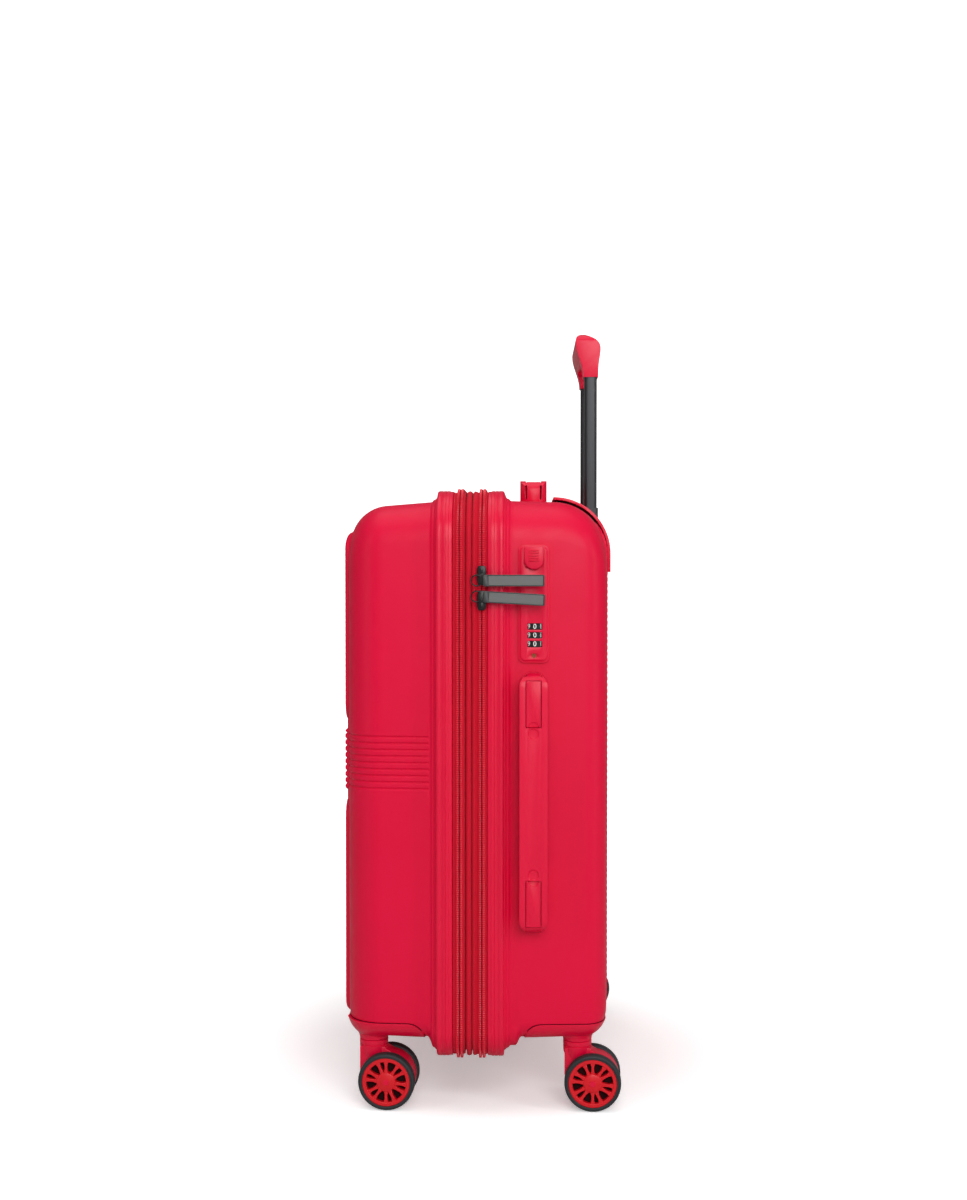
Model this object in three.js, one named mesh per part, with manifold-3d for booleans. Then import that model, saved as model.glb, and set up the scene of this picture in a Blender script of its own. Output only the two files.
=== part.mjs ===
// Hard shell spinner suitcase with a zip expansion, a telescopic trolley handle and four twin casters.
// Millimetres, +Z up. The origin is on the floor under the middle of the case, in the main zip's plane.
// +X is the lock and carry handle side, -Y the front half and +Y the back half with the trolley.
import * as THREE from "three";
import { mergeVertices } from "three/addons/utils/BufferGeometryUtils.js";
import Module from "manifold-3d";

const wasm = await Module();
wasm.setup();

// ---- Driving dimensions -------------------------------------------------------------------------

const gap = 0.3; // clearance between pieces that touch or slide
const wall = 2.5; // shell wall

// Casters. A fork trails behind its swivel axis, and carries a wheel on each side.
const wheel = { radius: 30, tread: 4, width: 12, middle: 19, bore: 3.3 };
const wheelSides = 20;
const spokeWindow = { hub: 11.5, band: 21.5, count: 6, width: 7 };
const collar = { radius: 15.25, height: 11 };
const trail = 16.3;
const axleRadius = 3;
const forkHalf = 11.5;
const restSwivel = { front_right: -3.8, rear_right: -1.7, front_left: 14, rear_left: 27 };

// Case body. Half width and heights are the shells' at their rims, before the draft.
const shellHalfWidth = 220;
const shellHeight = 578;
const shellBottom = 2 * wheel.radius + 7;
const shellTop = shellBottom + shellHeight;
const rimRadius = 44; // the rim's upper corners, seen from the front
const footRadius = 22; // the rim's lower corners
const rimProud = 10; // how far the bindings stand proud of the shell
const coilProud = 12; // how far the zip coils stand proud of the shell

// Depths from the main zip's plane.
const zip = { coil: 3.6, tape: 5.1 };
const bindingWidth = 17.3;
const bandDepth = 23.4; // from the main zip to the expansion zip
const rearBinding = { start: zip.tape + 2 * gap, end: zip.tape + 2 * gap + bindingWidth };
const frontBinding = { start: bandDepth + zip.tape + 7 * gap, end: bandDepth + zip.tape + 7 * gap + bindingWidth };
const rearFace = 131.5;
const frontFace = 143.5;
const rimCover = 15; // how far a shell's edge reaches under its binding
const rimStep = { height: 2.5, length: 6.5 }; // raised lip of a shell next to its binding
const piping = { from: 10.5, to: 15.5 };
const gussetThick = 1;

// Edge radii and drafts of the two shells.
const frontForm = { top: 40, bottom: 24, side: 38, topDraft: 4.5, bottomDraft: 1.5, sideDraft: 3.5, step: [52, 58] };
const rearForm = { top: 55, bottom: 24, side: 24, topDraft: 1.5, bottomDraft: 1.5, sideDraft: 3.5, step: [35, 41] };
const recess = 9; // the bottom's step up, from the rim to the corner guards

// Raised panels and the grooved band of the front shell.
const panel = { height: 4.8, side: 46, low: 30, high: 38, radius: 22, root: 6 };
const groove = { count: 9, pitch: 6.8, width: 3, depth: 1.2, rise: 13 };
const bandMargin = 10; // from the outer grooves to the raised panels

// Corner guards over the casters.
const guard = { thick: 2.2, height: 27, frontReach: 61, rearReach: 44.5, inward: 110, corner: 18 };
const caster = { inward: 35, front: 27, rear: 30.7 }; // swivel axes, from the shells' side and faces

// Trolley.
const tubeSpread = 66; // from the case's middle to each tube's axis
const tubeWall = 1.2;
const tubeClear = 1; // from the outer tubes to the back wall
const innerTube = { x: 20, y: 14, length: 361 };
const middleTube = { length: 470, drop: 5 };
const outerTube = { length: 484, drop: 45 };
const footHeight = 9;
const bezel = { half: 100, thick: 4.7, front: 55.5, drop: 77 };
const grip = { half: 77, height: 48.1, depth: 28, neckWall: 1.3, back: 4, overhang: 8.7, rise: 141.5, seat: 14.5,
  archHalf: 49, archRise: 18.5, archCorner: 9 };
const button = { x: 34, y: 12, deep: 9, proud: 0.6, travel: 4, inset: 3 };

// Carry handles: a bar that lifts away from the shell on two fixed tongues.
const handle = { length: 271, width: 29, height: 23.5, bar: 10.5, end: 15, ramp: 22, middle: 53.7, drop: 315.5 };
const tongue = { width: 15.5, length: 48, inset: 8, short: 1.2 };

// Lock. Its heights are measured down from the shell's top, then from the plate's middle.
const dial = { radius: 11, width: 6.4, pitch: 9.1, fall: 32.6, proud: 1.2, pin: 2, shift: 1 };
const lock = { y: 54, drop: 109, height: 123, proud: 2, bodyDepth: 22, lip: 3.4, endLip: 5 };
const release = { rise: 48, width: 20, height: 24.5, thick: 3.6, travel: 4, stem: 6 };
const keyway = { fall: 54, radius: 2.5, oval: 4.7, ovalRise: 2.6, deep: 8 };

// Zip sliders and their pullers.
const slider = { upperDrop: 75.5, lowerDrop: 109, length: 12.6, width: 10, thick: 3.8, bridge: 1.2 };
const puller = { width: 12, length: 65, thick: 2.2, bar: 1.1, armGap: 4.2, arm: 1.6, start: 6 };
const pullerTilt = { upper: 0, lower: -3.3 };
const pullerShift = { upper: -9, lower: 8 }; // tab's height against its slider's middle

// Side rails that the case lies on.
const rail = { proud: 15.5, width: 14, length: 360, rearY: 84, frontY: 92 };

// ---- Derived places -----------------------------------------------------------------------------

const rimOuter = wheel.radius - wheel.tread;
const casterX = shellHalfWidth - caster.inward;
const swivelZ = shellBottom + 4.2;
const grooveMiddle = (shellBottom + shellTop) / 2 + groove.rise;
const tubeY = rearFace - wall - tubeClear - innerTube.y / 2 - 2 * (tubeWall + gap);
const outerTubeTop = shellTop - outerTube.drop;
const middleTubeTop = shellTop - middleTube.drop;
const gripBottom = shellTop + grip.rise;
const innerTubeTop = gripBottom + grip.seat;
const gripBack = tubeY + innerTube.y / 2 + grip.back;
const lockZ = shellTop - lock.drop;
const lockFace = shellHalfWidth + lock.proud;
const lockBodyWidth = 2 * (dial.radius + gap + dial.shift + 0.7);
const sideHandleZ = shellTop - handle.drop;

// ---- Materials ----------------------------------------------------------------------------------

const material = (color, roughness, metalness = 0) =>
  new THREE.MeshStandardMaterial({ color, roughness, metalness });
const shellRed = () => material("#da2139", 0.42);
const trimRed = () => material("#d3142c", 0.34);
const fabricRed = () => material("#b40f22", 0.9);
const liningGrey = () => material("#6f7074", 0.9);
const rimRed = () => material("#cf1026", 0.4);
const tyreGrey = () => material("#2f3335", 0.75);
const tubeDark = () => material("#3a3b3d", 0.35, 0.85);
const blackMetal = () => material("#17181a", 0.4, 0.6);
const pullerGrey = () => material("#7d7d7d", 0.45, 0.5);
const dialBlack = () => material("#111214", 0.5);
const keyBrown = () => material("#7c1a18", 0.45, 0.3);

// ---- Small tools --------------------------------------------------------------------------------

const suitcase = new THREE.Group();
suitcase.name = "suitcase";

const radians = THREE.MathUtils.degToRad;
const slope = (degrees) => Math.tan(radians(degrees));

function piece(name, geometry, finish, parent = suitcase) {
  const mesh = new THREE.Mesh(geometry, finish());
  mesh.name = name;
  parent.add(mesh);
  return mesh;
}

function solid(geometry) {
  const bare = geometry.clone();
  bare.deleteAttribute("normal");
  bare.deleteAttribute("uv");
  const merged = mergeVertices(bare, 1e-4);
  return new wasm.Manifold(new wasm.Mesh({
    numProp: 3,
    vertProperties: new Float32Array(merged.attributes.position.array),
    triVerts: new Uint32Array(merged.index.array),
  }));
}

function geometryOf(body) {
  const mesh = body.getMesh();
  const geometry = new THREE.BufferGeometry();
  geometry.setAttribute("position", new THREE.BufferAttribute(new Float32Array(mesh.vertProperties), 3));
  geometry.setIndex(new THREE.BufferAttribute(new Uint32Array(mesh.triVerts), 1));
  geometry.computeVertexNormals();
  return geometry;
}

const join = (...bodies) => bodies.reduce((whole, body) => whole.add(body));

// A box between two corners.
function block(x0, x1, y0, y1, z0, z1) {
  const geometry = new THREE.BoxGeometry(x1 - x0, y1 - y0, z1 - z0);
  return solid(geometry.translate((x0 + x1) / 2, (y0 + y1) / 2, (z0 + z1) / 2));
}

// A cylinder along an axis, centred on a point.
function rod(axis, radius, length, at, sides = 24) {
  const geometry = new THREE.CylinderGeometry(radius, radius, length, sides);
  if (axis === "x") geometry.rotateZ(Math.PI / 2);
  if (axis === "z") geometry.rotateX(Math.PI / 2);
  return solid(geometry.translate(at[0], at[1], at[2]));
}

// A rectangle with rounded corners, as a flat shape around a point.
function roundedRectangle(width, height, radius, x = 0, y = 0) {
  const shape = new THREE.Shape();
  const [right, top] = [x + width / 2, y + height / 2];
  const [left, bottom] = [x - width / 2, y - height / 2];
  shape.moveTo(left + radius, bottom);
  shape.lineTo(right - radius, bottom);
  shape.absarc(right - radius, bottom + radius, radius, -Math.PI / 2, 0);
  shape.lineTo(right, top - radius);
  shape.absarc(right - radius, top - radius, radius, 0, Math.PI / 2);
  shape.lineTo(left + radius, top);
  shape.absarc(left + radius, top - radius, radius, Math.PI / 2, Math.PI);
  shape.lineTo(left, bottom + radius);
  shape.absarc(left + radius, bottom + radius, radius, Math.PI, 1.5 * Math.PI);
  return shape;
}

const extruded = (shape, depth, curveSegments = 6) =>
  new THREE.ExtrudeGeometry(shape, { depth, bevelEnabled: false, curveSegments });

// An outline drawn across the case (shape x = X, shape y = Z), from depth y0 to y1 along Y.
const acrossY = (shape, y0, y1, segments) =>
  solid(extruded(shape, y1 - y0, segments).rotateX(Math.PI / 2).translate(0, y1, 0));

// An outline drawn on a side (shape x = Y, shape y = Z), from x0 to x1 along X.
const acrossX = (shape, x0, x1, segments) =>
  solid(extruded(shape, x1 - x0, segments).rotateZ(Math.PI / 2).rotateY(Math.PI / 2).translate(x0, 0, 0));

// ---- Case shells --------------------------------------------------------------------------------

const cornerSteps = 4;

// Corners of one ring of a case, a rounded rectangle in a plane across Y.
function ringPoints(y, half, low, high, upper, lower) {
  const corners = [
    [half - upper, high - upper, 0, upper],
    [-half + upper, high - upper, 1, upper],
    [-half + lower, low + lower, 2, lower],
    [half - lower, low + lower, 3, lower],
  ];
  return corners.flatMap(([x, z, quarter, radius]) =>
    Array.from({ length: cornerSteps + 1 }, (_, i) => {
      const angle = (quarter + i / cornerSteps) * (Math.PI / 2);
      return [x + radius * Math.cos(angle), y, z + radius * Math.sin(angle)];
    }));
}

// A closed body through a list of rings with the same number of points.
function loft(rings) {
  const count = rings[0].length;
  const positions = rings.flat(2);
  const index = [];
  for (let ring = 0; ring + 1 < rings.length; ring += 1) {
    for (let i = 0; i < count; i += 1) {
      const a = ring * count + i;
      const b = ring * count + ((i + 1) % count);
      index.push(a, b, a + count, b, b + count, a + count);
    }
  }
  const last = (rings.length - 1) * count;
  for (let i = 1; i + 1 < count; i += 1) {
    index.push(0, i + 1, i, last, last + i, last + i + 1);
  }
  if (rings[0][0][1] < rings[1][0][1]) index.reverse();
  const geometry = new THREE.BufferGeometry();
  geometry.setAttribute("position", new THREE.Float32BufferAttribute(positions, 3));
  geometry.setIndex(index);
  return solid(geometry);
}

// How far a rounded edge has pulled in at a depth, for a flank that ends in a face.
function edgeInset(depth, face, radius) {
  const into = depth - (face - radius);
  return into <= 0 ? 0 : radius - Math.sqrt(Math.max(radius * radius - into * into, 0));
}

// The outside of a shell grown by an amount, from its rim to its face. side is -1 for the front half.
function envelope(side, rim, face, form, grow = 0, over = 0) {
  const faceDepth = face + grow;
  const largest = Math.max(form.top, form.bottom, form.side) + grow;
  const steps = 6;
  const climb = form.step.map((depth) => depth + 0.6 * grow);
  const depths = [rim - over, ...climb];
  for (let i = 0; i <= steps; i += 1) {
    depths.push(faceDepth - largest * (1 - Math.sin((i / steps) * (Math.PI / 2))));
  }
  return loft(depths.map((depth) => {
    const run = depth - rim;
    const inset = (radius, draft) => run * slope(draft) + edgeInset(depth, faceDepth, radius + grow);
    const sideInset = inset(form.side, form.sideDraft) - grow;
    const cornerOf = (radius) => Math.max(radius + grow - 0.35 * sideInset, 12);
    const step = recess * THREE.MathUtils.clamp((depth - climb[0]) / (climb[1] - climb[0]), 0, 1);
    const low = shellBottom + inset(form.bottom, form.bottomDraft) + step - grow;
    return ringPoints(side * depth, shellHalfWidth - sideInset, low, shellTop - inset(form.top, form.topDraft) + grow,
      cornerOf(rimRadius), cornerOf(footRadius));
  }));
}

const frontRim = frontBinding.end - rimCover;
const rearRim = rearBinding.end - rimCover;
const frontEnvelope = (grow, over = 0) => envelope(-1, frontRim, frontFace, frontForm, grow, over);
const rearEnvelope = (grow, over = 0) => envelope(1, rearRim, rearFace, rearForm, grow, over);

// A band of constant depth all round the case, between two distances from the shell's rim.
function hoop(y0, y1, outer, inner) {
  const ring = (y, grow) => ringPoints(y, shellHalfWidth + grow, shellBottom - grow, shellTop + grow, rimRadius + grow,
    footRadius + grow);
  const body = loft([ring(y0, outer), ring(y1, outer)]);
  return body.subtract(loft([ring(y0 - 1, inner), ring(y1 + 1, inner)]));
}

// The lip of a shell next to its binding.
const lip = (y0, y1) => hoop(y0, y1, rimStep.height, -wall / 2);

function panelOutline(low, high) {
  return roundedRectangle(2 * (shellHalfWidth - panel.side), high - low, panel.radius, 0, (low + high) / 2);
}

const bandHalf = ((groove.count - 1) * groove.pitch) / 2 + bandMargin;

function frontPanels() {
  const lower = panelOutline(shellBottom + panel.low, grooveMiddle - bandHalf);
  const upper = panelOutline(grooveMiddle + bandHalf, shellTop - panel.high);
  const raise = (outline) => acrossY(outline, -frontFace - panel.height, -frontFace + panel.root);
  return [raise(lower), raise(upper)];
}

function grooves() {
  const skin = frontEnvelope(1).subtract(frontEnvelope(-groove.depth, 2));
  const slabs = Array.from({ length: groove.count }, (_, i) => {
    const z = grooveMiddle + (i - (groove.count - 1) / 2) * groove.pitch;
    const reach = shellHalfWidth + rimProud;
    return block(-reach, reach, -frontFace - 2, -frontBinding.end - rimStep.length, z - groove.width / 2,
      z + groove.width / 2);
  });
  return skin.intersect(join(...slabs));
}

function frontShell() {
  const lipEnd = -frontBinding.end - rimStep.length;
  const body = join(frontEnvelope(0), ...frontPanels(), lip(lipEnd, -frontBinding.end - gap));
  return body.subtract(frontEnvelope(-wall, 2)).subtract(grooves());
}

// Openings that the trolley's outer tubes and the lock pass through.
function tubeCut(sign, sizeX, sizeY, low, high) {
  const x = sign * tubeSpread;
  return block(x - sizeX / 2, x + sizeX / 2, tubeY - sizeY / 2, tubeY + sizeY / 2, low, high);
}

const tubeSizes = {
  inner: [innerTube.x, innerTube.y],
  middle: [innerTube.x + 2 * (tubeWall + gap), innerTube.y + 2 * (tubeWall + gap)],
  outer: [innerTube.x + 4 * (tubeWall + gap), innerTube.y + 4 * (tubeWall + gap)],
};

function rearShell() {
  const lipStart = rearBinding.end + gap;
  const body = rearEnvelope(0).add(lip(lipStart, rearBinding.end + rimStep.length));
  const [cutX, cutY] = tubeSizes.outer.map((size) => size + 2 * gap);
  const windows = [-1, 1].map((sign) => tubeCut(sign, cutX, cutY, outerTubeTop - rearForm.top, shellTop + 20));
  const halfWidth = lockBodyWidth / 2 + gap;
  const lockWindow = block(lockFace - lock.bodyDepth - gap, lockFace, lock.y - halfWidth, lock.y + halfWidth,
    lockZ - lockBodyHalf - gap, lockZ + lockBodyHalf + gap);
  return body.subtract(rearEnvelope(-wall, 2)).subtract(join(...windows, lockWindow));
}

const lockBodyHalf = lock.height / 2 - lock.endLip;

// ---- Bindings, zips and the expansion -----------------------------------------------------------

const bodyGroup = new THREE.Group();
const frontGroup = new THREE.Group();
const bandGroup = new THREE.Group();
suitcase.add(bodyGroup, frontGroup, bandGroup);

function caseHalves() {
  piece("rear_shell", geometryOf(rearShell()), shellRed, bodyGroup);
  piece("front_shell", geometryOf(frontShell()), shellRed, frontGroup);
  piece("rear_binding", geometryOf(hoop(rearBinding.start, rearBinding.end, rimProud, gap)), trimRed, bodyGroup);
  piece("front_binding", geometryOf(hoop(-frontBinding.end, -frontBinding.start, rimProud, gap)), trimRed,
    frontGroup);
}

function zips() {
  const tapeInner = -wall;
  const rearCoil = hoop(gap / 2, zip.coil, coilProud, tapeInner);
  const rearTape = hoop(zip.coil - 1, zip.tape + gap, coilProud - 5, tapeInner);
  piece("main_zip_rear_tape", geometryOf(join(rearCoil, rearTape)), fabricRed, bodyGroup);

  const frontCoil = hoop(-zip.coil, -gap / 2, coilProud, tapeInner);
  const web = hoop(-bandDepth + gap / 2, -zip.coil + 1, coilProud - 6, tapeInner);
  const cord = hoop(-piping.to, -piping.from, coilProud - 2, 0);
  const expansionCoil = hoop(-bandDepth + gap / 2, -bandDepth + zip.coil, coilProud, tapeInner);
  piece("zip_band", geometryOf(join(frontCoil, web, cord, expansionCoil)), fabricRed, bandGroup);

  const matingCoil = hoop(-bandDepth - zip.coil, -bandDepth - gap / 2, coilProud, tapeInner);
  const matingTape = hoop(-frontBinding.start + gap, -bandDepth - zip.coil + 1, coilProud - 5, tapeInner);
  piece("expansion_zip_front_tape", geometryOf(join(matingCoil, matingTape)), fabricRed, frontGroup);

  const drape = -wall - 2 * gap - rimCover * slope(frontForm.topDraft);
  const skirt = hoop(-frontBinding.end + gap, -zip.tape - gap, drape, drape - gussetThick);
  const hem = hoop(-bandDepth + zip.coil, -zip.tape - gap, -wall - gap, drape - gussetThick);
  piece("expansion_gusset", geometryOf(join(skirt, hem)), fabricRed, bandGroup);
}

// ---- Corner guards and side rails ---------------------------------------------------------------

const casterY = (half) => (half === "front" ? caster.front - frontFace : rearFace - caster.rear);

function cornerGuard(half, sign) {
  const front = half === "front";
  const grown = front ? frontEnvelope : rearEnvelope;
  const axisY = casterY(half);
  const skin = grown(gap + guard.thick).subtract(grown(gap, 2));
  const inner = shellHalfWidth - guard.inward;
  const [x0, x1] = sign > 0 ? [inner, shellHalfWidth + 20] : [-shellHalfWidth - 20, -inner];
  const [y0, y1] = front ? [-frontFace - 20, -guard.frontReach] : [guard.rearReach, rearFace + 20];
  const socketTop = shellBottom + 30;
  const socket = rod("z", collar.radius, socketTop - swivelZ,
    [sign * casterX, axisY, (socketTop + swivelZ) / 2], 20).subtract(grown(gap, 2));
  const top = shellBottom + guard.height;
  const outline = roundedRectangle(y1 - y0, top + 30, guard.corner, (y0 + y1) / 2, (top - 30) / 2);
  return join(skin.intersect(acrossX(outline, x0, x1)), socket);
}

function cornerGuards() {
  for (const [side, sign] of [["right", 1], ["left", -1]]) {
    piece(`front_corner_guard_${side}`, geometryOf(cornerGuard("front", sign)), trimRed, frontGroup);
    piece(`rear_corner_guard_${side}`, geometryOf(cornerGuard("rear", sign)), trimRed, bodyGroup);
  }
}

function sideRails() {
  const railZ = (shellBottom + shellTop) / 2 - 6;
  const blank = (y) => acrossX(roundedRectangle(rail.width, rail.length, rail.width / 2 - 0.5, y, railZ),
    -shellHalfWidth - rail.proud, -shellHalfWidth + wall + 10, 3);
  piece("rear_side_rail", geometryOf(blank(rail.rearY).subtract(rearEnvelope(gap, 2))), trimRed, bodyGroup);
  piece("front_side_rail", geometryOf(blank(-rail.frontY).subtract(frontEnvelope(gap, 2))), trimRed, frontGroup);
}

// ---- Casters ------------------------------------------------------------------------------------

function forkBody() {
  const profile = new THREE.Shape();
  const hub = 12;
  const low = wheel.radius;
  const collarTop = swivelZ - gap;
  const top = collarTop - collar.height / 2;
  profile.moveTo(-collar.radius + 1, top);
  profile.lineTo(-collar.radius + 1, top - 8);
  profile.lineTo(trail - hub, low);
  profile.absarc(trail, low, hub, Math.PI, 2 * Math.PI);
  profile.lineTo(trail + hub, top - 6);
  profile.lineTo(collar.radius - 1, top);
  const arm = acrossX(profile, -forkHalf, forkHalf, 5);
  const ring = rod("z", collar.radius, collar.height, [0, 0, collarTop - collar.height / 2], 20);
  const axle = rod("x", axleRadius, 2 * (wheel.middle + wheel.width / 2), [0, trail, low], 12);
  return join(arm, ring, axle);
}

function lathe(points, segments) {
  return solid(new THREE.LatheGeometry(points.map(([r, h]) => new THREE.Vector2(r, h)), segments));
}

function rimBody() {
  const half = wheel.width / 2;
  const outer = rimOuter - gap;
  const disc = lathe([
    [wheel.bore, -half], [outer, -half + 0.6], [outer, half - 0.6], [wheel.bore, half], [wheel.bore, -half],
  ], wheelSides);
  const { hub, band, count, width } = spokeWindow;
  const windows = Array.from({ length: count }, (_, i) => {
    const cut = new THREE.BoxGeometry(band - hub, 2 * wheel.width, width);
    cut.translate((hub + band) / 2, 0, 0);
    return solid(cut.rotateY((2 * Math.PI * (i + 0.5)) / count));
  });
  return disc.subtract(join(...windows));
}

function tyreBody() {
  const half = wheel.width / 2;
  const soft = 2;
  return lathe([
    [rimOuter, -half], [wheel.radius - soft, -half], [wheel.radius, -half + soft], [wheel.radius, half - soft],
    [wheel.radius - soft, half], [rimOuter, half], [rimOuter, -half],
  ], wheelSides);
}

function casters() {
  const fork = geometryOf(forkBody());
  const rim = geometryOf(rimBody()).rotateZ(Math.PI / 2);
  const tyre = geometryOf(tyreBody()).rotateZ(Math.PI / 2);
  for (const [place, degrees] of Object.entries(restSwivel)) {
    const [half, side] = place.split("_");
    const parent = half === "front" ? frontGroup : bodyGroup;
    const swivel = new THREE.Group();
    swivel.position.set(side === "right" ? casterX : -casterX, casterY(half), 0);
    swivel.rotation.z = radians(degrees);
    parent.add(swivel);
    piece(`caster_fork_${place}`, fork, trimRed, swivel);
    for (const [which, sign] of [["a", 1], ["b", -1]]) {
      const spin = new THREE.Group();
      spin.position.set(sign * wheel.middle, trail, wheel.radius);
      swivel.add(spin);
      piece(`wheel_rim_${place}_${which}`, rim, rimRed, spin);
      piece(`wheel_tyre_${place}_${which}`, tyre, tyreGrey, spin);
    }
  }
}

// ---- Trolley ------------------------------------------------------------------------------------

// A rectangular tube that hangs down from its top.
function tubeGeometry([x, y], top, length) {
  const corner = 3;
  const shape = roundedRectangle(x, y, corner);
  shape.holes.push(roundedRectangle(x - 2 * tubeWall, y - 2 * tubeWall, corner - tubeWall));
  return extruded(shape, length, 1).translate(0, tubeY, top - length);
}

// Section of the trolley's bezel: over the top, round the corner and down the back.
function bezelBody() {
  const start = rearFace - bezel.front;
  const low = shellTop - bezel.drop;
  const top = shellTop - (start - rearRim) * slope(rearForm.topDraft) + gap;
  const back = rearFace + gap;
  const radius = rearForm.top;
  const section = new THREE.Shape();
  section.moveTo(start, top);
  section.absarc(back - radius, top - radius, radius, Math.PI / 2, 0, true);
  section.lineTo(back, low);
  section.lineTo(back + bezel.thick, low);
  section.absarc(back - radius, top - radius, radius + bezel.thick, 0, Math.PI / 2);
  section.lineTo(start, top + bezel.thick);
  const band = acrossX(section, -bezel.half, bezel.half, 10);
  const [cutX, cutY] = tubeSizes.middle.map((size) => size + 2 * gap);
  const holes = [-1, 1].map((sign) => tubeCut(sign, cutX, cutY, low, shellTop + 30));
  return band.subtract(join(rearEnvelope(gap, 2), ...holes));
}

// The grip, drawn from the side: a narrow neck that widens to a top sloping to the back.
function gripBody() {
  const back = gripBack;
  const front = gripBack - grip.depth;
  const [bottom, top] = [gripBottom, gripTop];
  const neckFront = front + grip.overhang;
  const neckBack = tubeY + innerTube.y / 2 + grip.neckWall;
  const side = new THREE.Shape();
  side.moveTo(neckFront, bottom);
  side.lineTo(neckBack, bottom);
  side.bezierCurveTo(neckBack, bottom + 20, back, bottom + 22, back, top - 16);
  side.bezierCurveTo(back, top - 8, back - 6, top - 4, front + 10, top);
  side.bezierCurveTo(front + 3, top, front, top - 2, front, top - 8);
  side.bezierCurveTo(front, top - 22, neckFront, bottom + 16, neckFront, bottom);
  const bar = acrossX(side, -grip.half, grip.half, 5);
  const pockets = [-1, 1].map((sign) =>
    tubeCut(sign, innerTube.x + 2 * gap, innerTube.y + 2 * gap, bottom - 1, innerTubeTop + gap));
  const room = buttonBlock(gap, gripTop - button.deep - button.travel - 3, gripTop + 1);
  const opening = roundedRectangle(2 * grip.archHalf, 2 * grip.archRise, grip.archCorner, 0, bottom);
  const arch = acrossY(opening, front - 1, back + 1, 4);
  return bar.subtract(join(...pockets, room, arch));
}

const gripTop = gripBottom + grip.height;

// The button's outline, grown by an amount, between two heights.
function buttonBlock(grow, low, high) {
  const y = gripBack - grip.depth + button.inset + button.y / 2;
  return block(-button.x / 2 - grow, button.x / 2 + grow, y - button.y / 2 - grow, y + button.y / 2 + grow, low, high);
}

function trolley() {
  piece("trolley_bezel", geometryOf(bezelBody()), trimRed, bodyGroup);
  const footTop = outerTubeTop - outerTube.length - gap;
  const [x, y] = tubeSizes.outer;
  const foot = block(-tubeSpread - x / 2 - 3, tubeSpread + x / 2 + 3, tubeY - y / 2, tubeY + y / 2 - 2,
    footTop - footHeight, footTop);
  piece("trolley_tube_foot", geometryOf(foot), liningGrey, bodyGroup);
  for (const [side, sign] of [["right", 1], ["left", -1]]) {
    const place = (name, size, top, length) => {
      piece(`${name}_${side}`, tubeGeometry(size, top, length), tubeDark, bodyGroup).position.x = sign * tubeSpread;
    };
    place("trolley_outer_tube", tubeSizes.outer, outerTubeTop, outerTube.length);
    place("trolley_middle_tube", tubeSizes.middle, middleTubeTop, middleTube.length);
    place("trolley_inner_tube", tubeSizes.inner, innerTubeTop, innerTube.length);
  }
  piece("trolley_grip", geometryOf(gripBody()), trimRed, bodyGroup);
  piece("trolley_button", geometryOf(buttonBlock(0, gripTop - button.deep, gripTop + button.proud)), trimRed, bodyGroup);
}

// ---- Carry handles ------------------------------------------------------------------------------

// A carry handle's bar in its own frame: length along X, width along Y, standing on z = 0.
function handleBar() {
  const { length, width, height, bar, end, ramp } = handle;
  const half = length / 2;
  const foot = half - tongue.inset - tongue.length - 4;
  const arch = new THREE.Shape();
  arch.moveTo(half, 0);
  arch.lineTo(half, height - end);
  arch.absarc(half - end, height - end, end, 0, Math.PI / 2);
  arch.lineTo(-half + end, height);
  arch.absarc(-half + end, height - end, end, Math.PI / 2, Math.PI);
  arch.lineTo(-half, 0);
  arch.lineTo(-foot, 0);
  arch.lineTo(-foot + ramp, height - bar);
  arch.lineTo(foot - ramp, height - bar);
  arch.lineTo(foot, 0);
  const body = solid(extruded(arch, width, 5).rotateX(Math.PI / 2).translate(0, width / 2, 0));
  const plan = solid(extruded(roundedRectangle(length, width, 12), height, 5));
  const windows = [-1, 1].map((sign) => {
    const x = sign * (half - tongue.inset - tongue.length / 2);
    return block(x - tongue.length / 2 - gap, x + tongue.length / 2 + gap, -tongue.width / 2 - gap,
      tongue.width / 2 + gap, -1, height + 1);
  });
  return body.intersect(plan).subtract(join(...windows));
}

// A fixed tongue that the bar's end slides on, with a half-round dimple toward the middle.
function handleTongue(sign) {
  const x = sign * (handle.length / 2 - tongue.inset - tongue.length / 2);
  const half = tongue.length / 2;
  const top = handle.height - tongue.short;
  const post = block(x - half, x + half, -tongue.width / 2, tongue.width / 2, -4, top);
  const dimple = rod("z", tongue.width / 2 - 1.5, 2, [x - sign * half, 0, top], 20);
  return post.subtract(dimple);
}

const handleRun = handle.middle - handle.width / 2 - rearRim;
const sideHandleX = shellHalfWidth - handleRun * slope(rearForm.sideDraft) + gap;
const topHandleZ = shellTop - handleRun * slope(rearForm.topDraft) + gap;

function carryHandle(name, turn) {
  const trim = rearEnvelope(gap, 2);
  const place = new THREE.Matrix4();
  if (turn) place.makeRotationY(Math.PI / 2).setPosition(sideHandleX, handle.middle, sideHandleZ);
  else place.makeTranslation(0, handle.middle, topHandleZ);
  const placed = (body) => solid(geometryOf(body).applyMatrix4(place));
  piece(`${name}_bar`, geometryOf(placed(handleBar())), trimRed, bodyGroup);
  const ends = turn ? [["upper", -1], ["lower", 1]] : [["right", 1], ["left", -1]];
  for (const [which, sign] of ends) {
    const body = placed(handleTongue(sign)).subtract(trim);
    piece(`${name}_tongue_${which}`, geometryOf(body), trimRed, bodyGroup);
  }
}

// ---- Combination lock ---------------------------------------------------------------------------

const dialAxisX = lockFace + dial.proud - dial.radius;
const dialMiddle = lockZ - dial.fall;
const dialHeights = [1, 0, -1].map((step) => dialMiddle + step * dial.pitch);
const dialY = lock.y + dial.shift;
const releaseZ = lockZ + release.rise;
const keyZ = lockZ - keyway.fall;

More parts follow.
